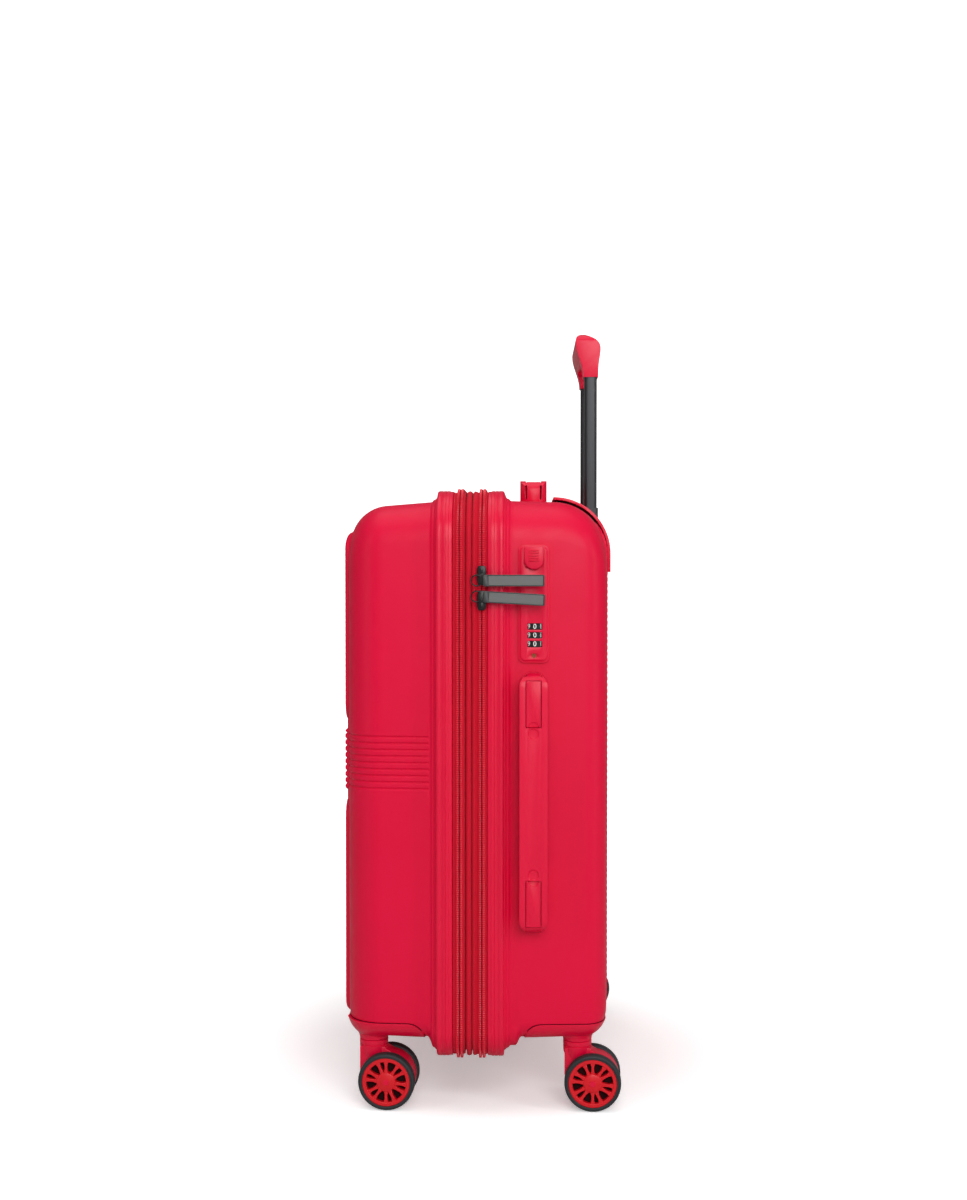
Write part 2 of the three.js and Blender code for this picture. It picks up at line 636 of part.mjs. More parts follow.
function lockHousing() {
  const { y, height, bodyDepth } = lock;
  const face = lockFace;
  const plate = acrossX(roundedRectangle(lockBodyWidth + 2 * lock.lip, height, 7, y, lockZ), face - 10, face)
    .subtract(rearEnvelope(gap, 2));
  const box = block(face - bodyDepth, face - 1, y - lockBodyWidth / 2, y + lockBodyWidth / 2, lockZ - lockBodyHalf,
    lockZ + lockBodyHalf);
  const pockets = dialHeights.map((h) =>
    rod("z", dial.radius + gap, dial.width + 2 * gap, [dialAxisX, dialY, h], 16));
  const pin = rod("z", dial.pin, 3 * dial.pitch, [dialAxisX, dialY, dialMiddle], 8);
  const slotHalf = release.stem / 2 + gap;
  const slot = block(face - 8, face + 1, y - slotHalf, y + slotHalf, releaseZ - slotHalf - release.travel,
    releaseZ + slotHalf);
  const oval = rod("x", keyway.oval, 3, [face + 0.5, y, keyZ], 16);
  const flat = block(face - 2, face + 3, y - 10, y + 10, keyZ - keyway.ovalRise, keyZ + keyway.ovalRise);
  const bore = rod("x", keyway.radius + gap, keyway.deep + 1, [face - keyway.deep / 2 + 0.5, y, keyZ], 12);
  return join(plate, box).subtract(join(...pockets)).add(pin).subtract(join(slot, oval.intersect(flat), bore));
}

function combinationLock() {
  piece("lock_housing", geometryOf(lockHousing()), trimRed, bodyGroup);
  dialHeights.forEach((height, i) => {
    const wheelBody = rod("z", dial.radius, dial.width, [0, 0, 0], 20)
      .subtract(rod("z", dial.pin + gap, dial.width + 2, [0, 0, 0], 8));
    piece(`lock_dial_${i + 1}`, geometryOf(wheelBody), dialBlack, bodyGroup).position.set(dialAxisX, dialY, height);
  });
  const thumb = acrossX(roundedRectangle(release.width, release.height, 6, lock.y, releaseZ), lockFace + gap,
    lockFace + gap + release.thick, 3);
  const half = release.stem / 2;
  const stem = block(lockFace - 6, lockFace + 1, lock.y - half, lock.y + half, releaseZ - half, releaseZ + half);
  piece("lock_release", geometryOf(join(thumb, stem)), trimRed, bodyGroup);
  const barrel = rod("x", keyway.radius, keyway.deep - 1, [lockFace - keyway.deep / 2 - gap, lock.y, keyZ], 12);
  const slit = block(lockFace - 3, lockFace, lock.y - 0.5, lock.y + 0.5, keyZ - 1.7, keyZ + 1.7);
  piece("key_cylinder", geometryOf(barrel.subtract(slit)), keyBrown, bodyGroup);
}

// ---- Zip sliders and pullers --------------------------------------------------------------------

const sliderBase = shellHalfWidth + coilProud + gap;
const pullerAxisX = sliderBase + slider.thick + puller.bar + 0.5;

// A slider in its own frame, with the case's outward direction along X and its bridge over the puller.
function sliderBody() {
  const body = block(sliderBase, sliderBase + slider.thick, -slider.width / 2, slider.width / 2,
    -slider.length / 2, slider.length / 2);
  const bridgeLow = pullerAxisX + puller.bar + 0.4;
  const reach = slider.width / 2 - 0.6;
  const width = puller.armGap - 1.6;
  const arch = block(sliderBase + 1, bridgeLow + slider.bridge, -reach, reach, -width, width);
  return body.add(arch.subtract(block(sliderBase + slider.thick, bridgeLow, -reach + 1.2, reach - 1.2, -9, 9)));
}

// A puller in its own frame: a cross bar under the bridge, two arms and a long tab.
function pullerBody(shift) {
  const { width, length, thick, bar, armGap, arm, start } = puller;
  const halfThick = thick / 2;
  const pivot = rod("z", bar, 2 * (armGap + arm), [0, 0, 0], 12);
  const arms = [-1, 1].map((sign) => {
    const [z0, z1] = [sign * armGap, sign * (armGap + arm)].sort((a, b) => a - b);
    return block(-halfThick, halfThick, 0, start + 1, z0, z1);
  });
  const low = Math.min(shift - width / 2, -armGap - arm);
  const high = Math.max(shift + width / 2, armGap + arm);
  const yoke = block(-halfThick, halfThick, start, start + 3, low, high);
  const tab = acrossX(roundedRectangle(length - start, width, 1.5, (length + start) / 2, shift), -halfThick, halfThick, 2);
  return join(pivot, ...arms, yoke, tab);
}

function zipPulls() {
  for (const which of ["upper", "lower"]) {
    const z = shellTop - slider[`${which}Drop`];
    piece(`zip_slider_${which}`, geometryOf(sliderBody()), blackMetal, bodyGroup).position.z = z;
    const tab = geometryOf(pullerBody(pullerShift[which])).rotateX(radians(pullerTilt[which]));
    piece(`zip_puller_${which}`, tab, pullerGrey, bodyGroup).position.set(pullerAxisX, 0, z);
  }
}

// ---- Assembly -----------------------------------------------------------------------------------

caseHalves();
zips();
cornerGuards();
sideRails();
casters();
trolley();
carryHandle("side_handle", true);
carryHandle("top_handle", false);
combinationLock();
zipPulls();

export default suitcase;
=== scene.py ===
# Hard shell spinner suitcase: two moulded case halves, zip expansion, trolley handle,
# combination lock and four twin wheel casters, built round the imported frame.
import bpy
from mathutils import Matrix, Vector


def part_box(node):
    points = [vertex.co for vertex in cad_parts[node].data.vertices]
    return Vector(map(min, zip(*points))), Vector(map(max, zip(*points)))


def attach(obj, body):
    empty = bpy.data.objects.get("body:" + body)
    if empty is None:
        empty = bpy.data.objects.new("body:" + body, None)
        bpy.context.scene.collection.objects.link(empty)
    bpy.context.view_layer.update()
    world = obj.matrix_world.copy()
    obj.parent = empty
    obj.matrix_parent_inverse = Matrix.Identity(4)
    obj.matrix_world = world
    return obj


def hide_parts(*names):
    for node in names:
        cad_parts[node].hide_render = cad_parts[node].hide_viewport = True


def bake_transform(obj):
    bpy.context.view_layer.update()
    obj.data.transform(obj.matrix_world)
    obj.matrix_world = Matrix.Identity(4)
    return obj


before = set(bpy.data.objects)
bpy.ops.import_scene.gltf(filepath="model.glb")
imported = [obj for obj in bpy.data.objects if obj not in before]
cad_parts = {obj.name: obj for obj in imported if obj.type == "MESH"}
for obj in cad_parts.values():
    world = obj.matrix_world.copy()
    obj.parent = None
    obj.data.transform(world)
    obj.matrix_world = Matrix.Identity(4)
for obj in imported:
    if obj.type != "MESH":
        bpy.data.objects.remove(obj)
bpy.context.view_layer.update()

import math

import bmesh
import bpy
import numpy as np
from mathutils import Matrix, Vector

scene = bpy.context.scene
scene.view_settings.view_transform = "Standard"


def boxOf(node):
    low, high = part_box(node)
    return np.array(low) * 1000, np.array(high) * 1000


def linearColour(code):
    parts = [int(code[i:i + 2], 16) / 255 for i in (1, 3, 5)]
    return [*(v / 12.92 if v <= 0.04045 else ((v + 0.055) / 1.055) ** 2.4 for v in parts), 1.0]


def addNode(tree, kind, inputs=None, **settings):
    node = tree.nodes.new(kind)
    for key, value in settings.items():
        setattr(node, key, value)
    for key, value in (inputs or {}).items():
        if isinstance(value, bpy.types.NodeSocket):
            tree.links.new(value, node.inputs[key])
        else:
            node.inputs[key].default_value = value
    return node


def newMaterial(name):
    material = bpy.data.materials.new(name)
    material.use_nodes = True
    tree = material.node_tree
    tree.nodes.clear()
    shader = addNode(tree, "ShaderNodeBsdfPrincipled")
    addNode(tree, "ShaderNodeOutputMaterial", {"Surface": shader.outputs["BSDF"]})
    return material, tree, shader


# Moulded plastic. A fine spark grain breaks the highlight up, and slow drifts of tone and gloss
# keep a large face from looking painted on. Sizes are in millimetres.
def mouldedPlastic(name, colour, shade, roughness, grain=0.8, relief=0.06, gloss=0.3, coat=0.0):
    material, tree, shader = newMaterial(name)
    place = addNode(tree, "ShaderNodeTexCoord").outputs["Object"]
    drift = addNode(tree, "ShaderNodeTexNoise", {"Vector": place, "Scale": 1000 / 90, "Detail": 2.0})
    tone = addNode(tree, "ShaderNodeMix", {"Factor": drift.outputs["Fac"], 6: linearColour(colour),
                                           7: linearColour(shade)}, data_type="RGBA")
    tree.links.new(tone.outputs[2], shader.inputs["Base Color"])
    rub = addNode(tree, "ShaderNodeTexNoise", {"Vector": place, "Scale": 1000 / 14, "Detail": 4.0})
    rough = addNode(tree, "ShaderNodeMapRange", {"Value": rub.outputs["Fac"], "From Min": 0.3,
                                                 "From Max": 0.7, "To Min": roughness - 0.04,
                                                 "To Max": roughness + 0.05})
    tree.links.new(rough.outputs["Result"], shader.inputs["Roughness"])
    spark = addNode(tree, "ShaderNodeTexNoise", {"Vector": place, "Scale": 1000 / grain, "Detail": 3.0,
                                                 "Roughness": 0.6})
    bump = addNode(tree, "ShaderNodeBump", {"Height": spark.outputs["Fac"], "Strength": 0.6,
                                            "Distance": relief / 1000})
    tree.links.new(bump.outputs["Normal"], shader.inputs["Normal"])
    shader.inputs["IOR"].default_value = 1.53
    shader.inputs["Specular IOR Level"].default_value = gloss
    shader.inputs["Coat Weight"].default_value = coat
    shader.inputs["Coat Roughness"].default_value = 0.25
    return material


# Woven polyester or nylon: threads run along and across the piece's own UV map, laid out in metres.
def wovenCloth(name, colour, gap, thread, roughness=0.85, relief=0.12, coords="UV"):
    material, tree, shader = newMaterial(name)
    place = addNode(tree, "ShaderNodeTexCoord").outputs[coords]
    turned = addNode(tree, "ShaderNodeMapping", {"Vector": place, "Rotation": (0, 0, math.pi / 2)})
    # a wave repeats every 2 pi / 20 of its scaled length, so this is one thread to a crest
    scale = 1000 * math.pi / 10 / thread
    warp = addNode(tree, "ShaderNodeTexWave", {"Vector": place, "Scale": scale, "Distortion": 0.4,
                                               "Detail": 1.0}, bands_direction="X")
    weft = addNode(tree, "ShaderNodeTexWave", {"Vector": turned.outputs["Vector"], "Scale": scale,
                                               "Distortion": 0.4, "Detail": 1.0}, bands_direction="X")
    weave = addNode(tree, "ShaderNodeMath", {0: warp.outputs["Fac"], 1: weft.outputs["Fac"]},
                    operation="MULTIPLY")
    fuzz = addNode(tree, "ShaderNodeTexNoise", {"Vector": place, "Scale": 1000 / 6, "Detail": 4.0})
    mixed = addNode(tree, "ShaderNodeMath", {0: weave.outputs["Value"], 1: fuzz.outputs["Fac"]},
                    operation="MULTIPLY")
    tone = addNode(tree, "ShaderNodeMix", {"Factor": mixed.outputs["Value"], 6: linearColour(gap),
                                           7: linearColour(colour)}, data_type="RGBA")
    lift = addNode(tree, "ShaderNodeMix", {"Factor": 0.55, 6: tone.outputs[2], 7: linearColour(colour)},
                   data_type="RGBA")
    tree.links.new(lift.outputs[2], shader.inputs["Base Color"])
    bump = addNode(tree, "ShaderNodeBump", {"Height": weave.outputs["Value"], "Strength": 0.8,
                                            "Distance": relief / 1000})
    tree.links.new(bump.outputs["Normal"], shader.inputs["Normal"])
    shader.inputs["Roughness"].default_value = roughness
    shader.inputs["Specular IOR Level"].default_value = 0.2
    shader.inputs["Sheen Weight"].default_value = 0.04
    shader.inputs["Sheen Roughness"].default_value = 0.5
    return material


# Metal or metallic paint with fine streaks along one axis, as drawing or brushing leaves.
def streakedMetal(name, colour, shade, roughness, metallic, stretch, relief=0.02):
    material, tree, shader = newMaterial(name)
    place = addNode(tree, "ShaderNodeTexCoord").outputs["Object"]
    drawn = addNode(tree, "ShaderNodeMapping", {"Vector": place, "Scale": stretch})
    streak = addNode(tree, "ShaderNodeTexNoise", {"Vector": drawn.outputs["Vector"], "Scale": 1000 / 0.7,
                                                  "Detail": 5.0})
    tone = addNode(tree, "ShaderNodeMix", {"Factor": streak.outputs["Fac"], 6: linearColour(colour),
                                           7: linearColour(shade)}, data_type="RGBA")
    tree.links.new(tone.outputs[2], shader.inputs["Base Color"])
    rough = addNode(tree, "ShaderNodeMapRange", {"Value": streak.outputs["Fac"], "To Min": roughness - 0.06,
                                                 "To Max": roughness + 0.08})
    tree.links.new(rough.outputs["Result"], shader.inputs["Roughness"])
    bump = addNode(tree, "ShaderNodeBump", {"Height": streak.outputs["Fac"], "Strength": 0.4,
                                            "Distance": relief / 1000})
    tree.links.new(bump.outputs["Normal"], shader.inputs["Normal"])
    shader.inputs["Metallic"].default_value = metallic
    return material


finish = {
    # injection moulded ABS with a spark eroded grain: broad soft highlights
    "shell": mouldedPlastic("mouldedAbsShell", "#d9053a", "#d20434", 0.42, gloss=0.17),
    # the same resin from a polished tool: tighter, brighter edge highlights
    "trim": mouldedPlastic("satinAbsTrim", "#da0538", "#d30433", 0.34, 0.6, 0.03, 0.26),
    # glass filled nylon: darker, with a drier shine
    "rim": mouldedPlastic("nylonWheelRim", "#d4091c", "#c80818", 0.38, 0.7, 0.04, 0.35),
    # nylon monofilament coil: glossy little bars
    "coil": mouldedPlastic("nylonZipCoil", "#dd0a30", "#d0082a", 0.34, 0.5, 0.02, 0.45),
    # woven polyester zip tape: matt, with a visible thread
    "tape": wovenCloth("wovenZipTape", "#d8092c", "#a0051c", 0.9),
    # coated nylon of the expansion: a plain weave with a little sheen
    "gusset": wovenCloth("coatedNylonGusset", "#b3081f", "#7d0414", 1.1, 0.7),
    # polyester lining: soft grey with a faint lustre
    "lining": wovenCloth("polyesterLining", "#77787c", "#55565a", 1.2, 0.75, 0.08),
    "webbing": wovenCloth("polyesterWebbing", "#2c2d30", "#141517", 1.4, 0.8, 0.2),
    # polyurethane tread: dry dark grey rubber
    "tyre": mouldedPlastic("polyurethaneTyre", "#2c3032", "#24282a", 0.58, 0.9, 0.08, 0.3),
    # anodised aluminium, drawn along the tube: dark with long soft streaks
    "tube": streakedMetal("anodisedTube", "#3a3b3d", "#323335", 0.36, 0.75, (1, 1, 0.012)),
    # black enamelled zinc casting
    "enamel": streakedMetal("enamelledZinc", "#17181a", "#101113", 0.32, 0.35, (1, 1, 1), 0.01),
    # grey lacquered puller with a lightly brushed face
    "puller": streakedMetal("lacqueredPuller", "#666766", "#585958", 0.4, 0.45, (1, 0.03, 1)),
    "pullerEdge": streakedMetal("lacqueredPullerEdge", "#3c3d3e", "#2f3031", 0.4, 0.45, (1, 0.03, 1)),
    "dial": mouldedPlastic("blackAcetalDial", "#121316", "#0c0d0f", 0.35, 0.5, 0.01, 0.4),
    "digit": mouldedPlastic("whitePadPrint", "#f2f2ee", "#e8e8e4", 0.5, 0.5, 0.01, 0.3),
    # brass plug of the key lock, dulled
    "key": streakedMetal("agedBrassKeyway", "#8a5a34", "#6e3c26", 0.42, 0.7, (1, 1, 1)),
    # painted shade: a near black red laid where only shade falls, in slots, gaps and hollows
    "shadow": mouldedPlastic("paintedShadeRecess", "#2a0508", "#1c0305", 0.7, 0.8, 0.02, 0.1),
}
print("materials ready:", len(finish))


def meshPiece(name, points, faces, cornerUv=None, recalculate=True):
    mesh = bpy.data.meshes.new(name)
    mesh.from_pydata((np.asarray(points, float) / 1000).tolist(), [], faces)
    if cornerUv is not None:
        layer = mesh.uv_layers.new(name="UVMap")
        layer.data.foreach_set("uv", np.asarray(cornerUv, float).ravel())
    if recalculate:
        work = bmesh.new()
        work.from_mesh(mesh)
        bmesh.ops.recalc_face_normals(work, faces=work.faces)
        work.to_mesh(mesh)
        work.free()
    piece = bpy.data.objects.new(name, mesh)
    scene.collection.objects.link(piece)
    return piece


def finishPiece(piece, body, material, replaced=(), sharp=35):
    mesh = piece.data
    if not mesh.materials:
        mesh.materials.append(material)
    mesh.shade_smooth()
    mesh.set_sharp_from_angle(angle=math.radians(sharp))
    if body:
        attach(piece, body)
    if replaced:
        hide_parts(*([replaced] if isinstance(replaced, str) else replaced))
    return piece


# The modifier stack made real, so that only a plain mesh goes to the frame.
def plainMesh(piece):
    graph = bpy.context.evaluated_depsgraph_get()
    mesh = bpy.data.meshes.new_from_object(piece.evaluated_get(graph))
    piece.modifiers.clear()
    piece.data = mesh
    return piece


def softened(piece, width, segments=2, angle=35):
    bevel = piece.modifiers.new("edges", "BEVEL")
    bevel.width = width / 1000
    bevel.segments = segments
    bevel.limit_method = "ANGLE"
    bevel.angle_limit = math.radians(angle)
    bevel.harden_normals = False
    return plainMesh(piece)


def joined(name, pieces):
    meshes = []
    for piece in pieces:
        meshes.append(piece.data)
    work = bmesh.new()
    for mesh in meshes:
        work.from_mesh(mesh)
    whole = bpy.data.meshes.new(name)
    work.to_mesh(whole)
    work.free()
    for material in meshes[0].materials:
        whole.materials.append(material)
    for piece in pieces:
        bpy.data.objects.remove(piece)
    made = bpy.data.objects.new(name, whole)
    scene.collection.objects.link(made)
    return made


# Camera, light and floor.
studio = {
    "camera": (1.964, 0.0485, 0.585),
    "look": (-1.0, -0.0269, -0.0258),
    "lens": 50.3,
    "world": "#ffffff",
    "worldStrength": 0.24,
    "floor": "#f6f6f6",
    "bounce": "#cccccc",  # what the paper gives back to the case, kept low so that edges stay deep red
    "glow": (0.33, 1.1),  # lifts the paper to white away from the case, for the camera only
    "floorSize": 9.0,
    "sweep": 2.6,  # radius of the backdrop's curve, in metres
}


def makeStudio():
    camera = bpy.data.cameras.new("camera")
    camera.lens = studio["lens"]
    camera.sensor_width = 36
    camera.clip_end = 60
    eye = bpy.data.objects.new("camera", camera)
    scene.collection.objects.link(eye)
    eye.location = studio["camera"]
    eye.rotation_euler = Vector(studio["look"]).to_track_quat("-Z", "Y").to_euler()
    scene.camera = eye

    world = bpy.data.worlds.new("softRoom")
    scene.world = world
    world.use_nodes = True
    background = world.node_tree.nodes["Background"]
    background.inputs["Color"].default_value = linearColour(studio["world"])
    background.inputs["Strength"].default_value = studio["worldStrength"]

    size, radius = studio["floorSize"], studio["sweep"]
    profile = [(size, 0.0)]
    profile += [(-2.2 - radius * math.sin(a), radius - radius * math.cos(a))
                for a in np.linspace(0, math.pi / 2, 25)]
    profile.append((-2.2 - radius, 7.0))
    points = [(x * 1000, y * 1000, z * 1000 - 0.3) for x, z in profile for y in (-size, size)]
    faces = [(2 * i, 2 * i + 1, 2 * i + 3, 2 * i + 2) for i in range(len(profile) - 1)]
    floor = meshPiece("studio_floor", points, faces, recalculate=False)
    material, tree, shader = newMaterial("mattPaperFloor")  # paper backdrop: no shine, a trace of tooth
    place = addNode(tree, "ShaderNodeTexCoord").outputs["Object"]
    tooth = addNode(tree, "ShaderNodeTexNoise", {"Vector": place, "Scale": 400.0})
    bump = addNode(tree, "ShaderNodeBump", {"Height": tooth.outputs["Fac"], "Strength": 0.05,
                                            "Distance": 0.0002})
    tree.links.new(bump.outputs["Normal"], shader.inputs["Normal"])
    seen = addNode(tree, "ShaderNodeLightPath")
    paper = addNode(tree, "ShaderNodeMix", {"Factor": seen.outputs["Is Camera Ray"],
                                            6: linearColour(studio["bounce"]),
                                            7: linearColour(studio["floor"])}, data_type="RGBA")
    tree.links.new(paper.outputs[2], shader.inputs["Base Color"])
    shader.inputs["Roughness"].default_value = 0.95
    shader.inputs["Specular IOR Level"].default_value = 0.1
    shader.inputs["Emission Color"].default_value = (1, 1, 1, 1)
    away = addNode(tree, "ShaderNodeVectorMath", {"Vector": place}, operation="LENGTH").outputs["Value"]
    rising = addNode(tree, "ShaderNodeMapRange", {"Value": away, "From Min": 0.2, "From Max": 0.75,
                                                  "To Min": studio["glow"][0], "To Max": studio["glow"][1]})
    glow = addNode(tree, "ShaderNodeMath", {0: seen.outputs["Is Camera Ray"], 1: rising.outputs["Result"]},
                   operation="MULTIPLY")
    tree.links.new(glow.outputs["Value"], shader.inputs["Emission Strength"])
    floor.data.materials.append(material)
    floor.data.shade_smooth()

    lamps = [  # name, place, aim, width, height, power in watts
        ("keySoftbox", (3.0, 0.5, 1.7), (0.1, 0, 0.42), 1.8, 1.8, 62),
        ("frontStrip", (1.5, -2.2, 1.1), (0, -0.05, 0.4), 0.25, 2.2, 8),
        ("backStrip", (1.3, 2.2, 1.1), (0, 0.05, 0.4), 0.25, 2.2, 14),
        ("topSoftbox", (0.3, -0.3, 3.1), (0, -0.05, 0), 2.6, 2.6, 34),
    ]
    for name, place, aim, width, height, power in lamps:
        light = bpy.data.lights.new(name, "AREA")
        light.shape = "RECTANGLE"
        light.size = width
        light.size_y = height
        light.energy = power
        lamp = bpy.data.objects.new(name, light)
        scene.collection.objects.link(lamp)
        lamp.location = place
        lamp.rotation_euler = (Vector(aim) - Vector(place)).to_track_quat("-Z", "Y").to_euler()
    print("studio ready")


makeStudio()

# Case shells. Each is a closed wall lofted through rings, from the rim to the face.
bindingProud = 10.0
rearBindingLow, rearBindingHigh = boxOf("rear_binding")
frontBindingLow, frontBindingHigh = boxOf("front_binding")
panelProud = 4.8
case = {
    "half": rearBindingHigh[0] - bindingProud,
    "low": rearBindingLow[2] + bindingProud,
    "high": rearBindingHigh[2] - bindingProud,
    "rimRadius": 44.0,
    "footRadius": 22.0,
    "recess": 9.0,
    "wall": 2.5,
    "rimCover": 15.0,
}
frontForm = {
    "side": -1, "rim": -frontBindingLow[1] - case["rimCover"],
    "face": -boxOf("front_shell")[0][1] - panelProud,
    "radii": (40.0, 24.0, 38.0), "drafts": (4.5, 1.5, 3.5), "binding": -frontBindingLow[1],
    "step": (52.0, 58.0),
}
rearForm = {
    "side": 1, "rim": rearBindingHigh[1] - case["rimCover"], "face": boxOf("rear_shell")[1][1],
    "radii": (55.0, 24.0, 24.0), "drafts": (1.5, 1.5, 3.5), "binding": rearBindingHigh[1],
    "step": (35.0, 41.0),
}
grooves = {"count": 9, "pitch": 6.8, "width": 3.4, "depth": 1.2,
           "middle": (case["low"] + case["high"]) / 2 + 13}
# the shell's lip beside its binding: distance from the binding, and how far it stands proud
lip = [(0.0, 4.6), (1.2, 4.3), (2.8, 2.6), (4.6, 2.2), (6.0, 0.5), (7.0, 0.0)]


def edgeInset(depth, face, radius):
    into = np.clip(depth - (face - radius), 0, radius)
    return radius - np.sqrt(radius * radius - into * into)


def grooveDepth(z):
    first = grooves["middle"] - (grooves["count"] - 1) / 2 * grooves["pitch"]
    phase = (z - first) / grooves["pitch"]
    nearest = np.clip(np.round(phase), 0, grooves["count"] - 1)
    away = np.abs(z - (first + nearest * grooves["pitch"])) / (grooves["width"] / 2)
    return np.where(away < 1, np.maximum(np.cos(away * math.pi / 2), 0) ** 1.5, 0.0)


# Half a ring, from the middle of its bottom to the middle of its top, as weights of
# (half width, corner radius) for x and (low, high, corner radius, own height) for z.
def ringWeights(rows, cornerSteps=10, flatSteps=5):
    table = []
    for t in np.linspace(0, 1, flatSteps, endpoint=False):
        table.append((t, -t, 1, 0, 0, 0))
    for a in np.linspace(-math.pi / 2, 0, cornerSteps):
        table.append((1, math.cos(a) - 1, 1, 0, 1 + math.sin(a), 0))
    for z in rows:
        table.append((1, 0, 0, 0, 0, z))
    for a in np.linspace(0, math.pi / 2, cornerSteps):
        table.append((1, math.cos(a) - 1, 0, 1, math.sin(a) - 1, 0))
    for t in np.linspace(1, 0, flatSteps + 1)[1:]:
        table.append((t, -t, 0, 1, 0, 0))
    return np.array(table)


# The bottom's step up from the rim to the corner guards.
def stepUp(form, depth, grow=0.0):
    start, end = (place + 0.6 * grow for place in form["step"])
    climb = np.clip((depth - start) / (end - start), 0, 1)
    return case["recess"] * climb * climb * (3 - 2 * climb)


def ringAt(form, weights, depth, grow, swell=0.0):
    top, bottom, side = form["radii"]
    topDraft, bottomDraft, sideDraft = form["drafts"]
    face = form["face"] + grow
    run = depth - form["rim"]

    def inset(radius, draft):
        return run * math.tan(math.radians(draft)) + edgeInset(depth, face, radius + grow)

    sideInset = inset(side, sideDraft) - grow
    upper, lower = (np.maximum(case[end] + grow - 0.35 * sideInset, 12) + swell
                    for end in ("rimRadius", "footRadius"))
    radius = np.where(weights[:, 2] > 0, lower, upper)
    half = case["half"] - sideInset + swell
    low = case["low"] + inset(bottom, bottomDraft) + stepUp(form, depth, grow) - grow - swell
    high = case["high"] - inset(top, topDraft) + grow + swell
    x = half * weights[:, 0] + radius * weights[:, 1]
    z = low * weights[:, 2] + high * weights[:, 3] + radius * weights[:, 4] + weights[:, 5]
    return np.column_stack([x, form["side"] * depth * np.ones(len(x)), z])


def wholeRing(half):
    left = half[-2:0:-1] * [-1, 1, 1]
    return np.vstack([half, left])


def ringFaces(count, rings):
    faces = []
    for ring in range(rings - 1):
        for i in range(count):
            j = (i + 1) % count
            faces.append((ring * count + i, ring * count + j, (ring + 1) * count + j,
                          (ring + 1) * count + i))
    return faces


# Closes a ring across the case, row by row, so that rows that dip carry on over the face.
def crossFaces(start, halfCount, count, flat):
    left = [start + (count - i) % count for i in range(halfCount)]
    right = [start + i for i in range(halfCount)]
    top = halfCount - 1 - flat
    faces = [[left[i] for i in range(flat + 1, 0, -1)] + [right[i] for i in range(flat + 2)]]
    for i in range(flat + 1, top - 1):
        faces.append((left[i], right[i], right[i + 1], left[i + 1]))
    last = list(range(top - 1, halfCount))
    faces.append([right[i] for i in last] + [left[i] for i in reversed(last[:-1])])
    return faces


def makeShell(form, name, body, rows, carve):
    weights = ringWeights(rows)
    count = 2 * len(weights) - 2
    rowZ = weights[:, 5]
    rings = []
    swellAt = [form["binding"] + step[0] + 0.05 for step in lip]
    arcRadius = max(form["radii"])
    arcStart = form["face"] - arcRadius
    flats = sorted([form["rim"], form["binding"] - 0.6, *swellAt, *np.linspace(*form["step"], 6),
                    *np.linspace(form["step"][1] + 4, arcStart, 6)])
    for depth in flats:
        swell = np.interp(depth - form["binding"], [-0.6, *[s[0] for s in lip]],
                          [lip[0][1], *[s[1] for s in lip]])
        if depth < form["binding"] - 1:
            swell = 0.0
        fade = np.clip((depth - form["binding"] - 7) / 2.5, 0, 1)
        grow = -carve(rowZ) * fade
        rings.append(ringAt(form, weights, np.full(len(weights), depth), grow, swell))
    for a in np.linspace(0, math.pi / 2, 15)[1:]:
        grow = -carve(rowZ)
        depth = form["face"] + grow - (arcRadius + grow) * (1 - math.sin(a))
        rings.append(ringAt(form, weights, depth, grow))
    outer = len(rings)
    for a in np.linspace(math.pi / 2, 0, 7):
        grow = np.full(len(weights), -case["wall"])
        depth = form["face"] + grow - (arcRadius + grow) * (1 - math.sin(a))
        rings.append(ringAt(form, weights, depth, grow))
    for depth in (*(np.linspace(*form["step"], 4)[::-1] - 0.6 * case["wall"]), form["rim"]):
        grow = np.full(len(weights), -case["wall"])
        rings.append(ringAt(form, weights, np.full(len(weights), depth), grow))
    points = np.vstack([wholeRing(ring) for ring in rings])
    faces = ringFaces(count, outer)
    shift = outer * count
    faces += [tuple(v + shift for v in face) for face in ringFaces(count, len(rings) - outer)]
    faces += crossFaces((outer - 1) * count, len(weights), count, 5)
    faces += crossFaces(shift, len(weights), count, 5)
    last = (len(rings) - 1) * count
    faces += [(i, (i + 1) % count, last + (i + 1) % count, last + i) for i in range(count)]
    shell = meshPiece(name, points, faces)
    return finishPiece(shell, body, finish["shell"], name.replace("_wall", "_shell"), 28)


def grooveRows():
    first = grooves["middle"] - (grooves["count"] - 1) / 2 * grooves["pitch"]
    rows = [150, 190, 240, 290, 325]
    for i in range(grooves["count"]):
        rows += [first + i * grooves["pitch"] + s * grooves["width"] / 2
                 for s in (-1, -0.7, -0.4, 0, 0.4, 0.7, 1)]
    return [*rows, 415, 450, 500, 540]


makeShell(frontForm, "front_wall", "case_front", grooveRows(), lambda z: grooves["depth"] * grooveDepth(z))
makeShell(rearForm, "rear_wall", "case_back", [150, 200, 250, 300, 350, 400, 450, 500, 540],
          lambda z: 0 * z)
print("case shells made")


# Raised relief of the front face: two ribbed panels and a grooved band between them.
relief = {"proud": panelProud, "half": 174.0, "corner": 22.0, "edge": 4.5, "upper": (39, 243),
          "lower": (-278, -44), "band": (-34, 32), "valley": 2.3, "ribPitch": 6.6, "ribDepth": 0.55,
          "bandDepth": 1.7}
rearRelief = {"proud": 1.3, "half": 180.0, "corner": 16.0, "edge": 1.6, "low": 106.0, "high": 622.0,
              "ribPitch": 6.6, "ribDepth": 0.9}


def insideBy(x, z, half, low, high, corner):
    qx = np.abs(x) - (half - corner)
    qz = np.abs(z - (low + high) / 2) - ((high - low) / 2 - corner)
    outside = np.hypot(np.maximum(qx, 0), np.maximum(qz, 0))
    return corner - (outside + np.minimum(np.maximum(qx, qz), 0))


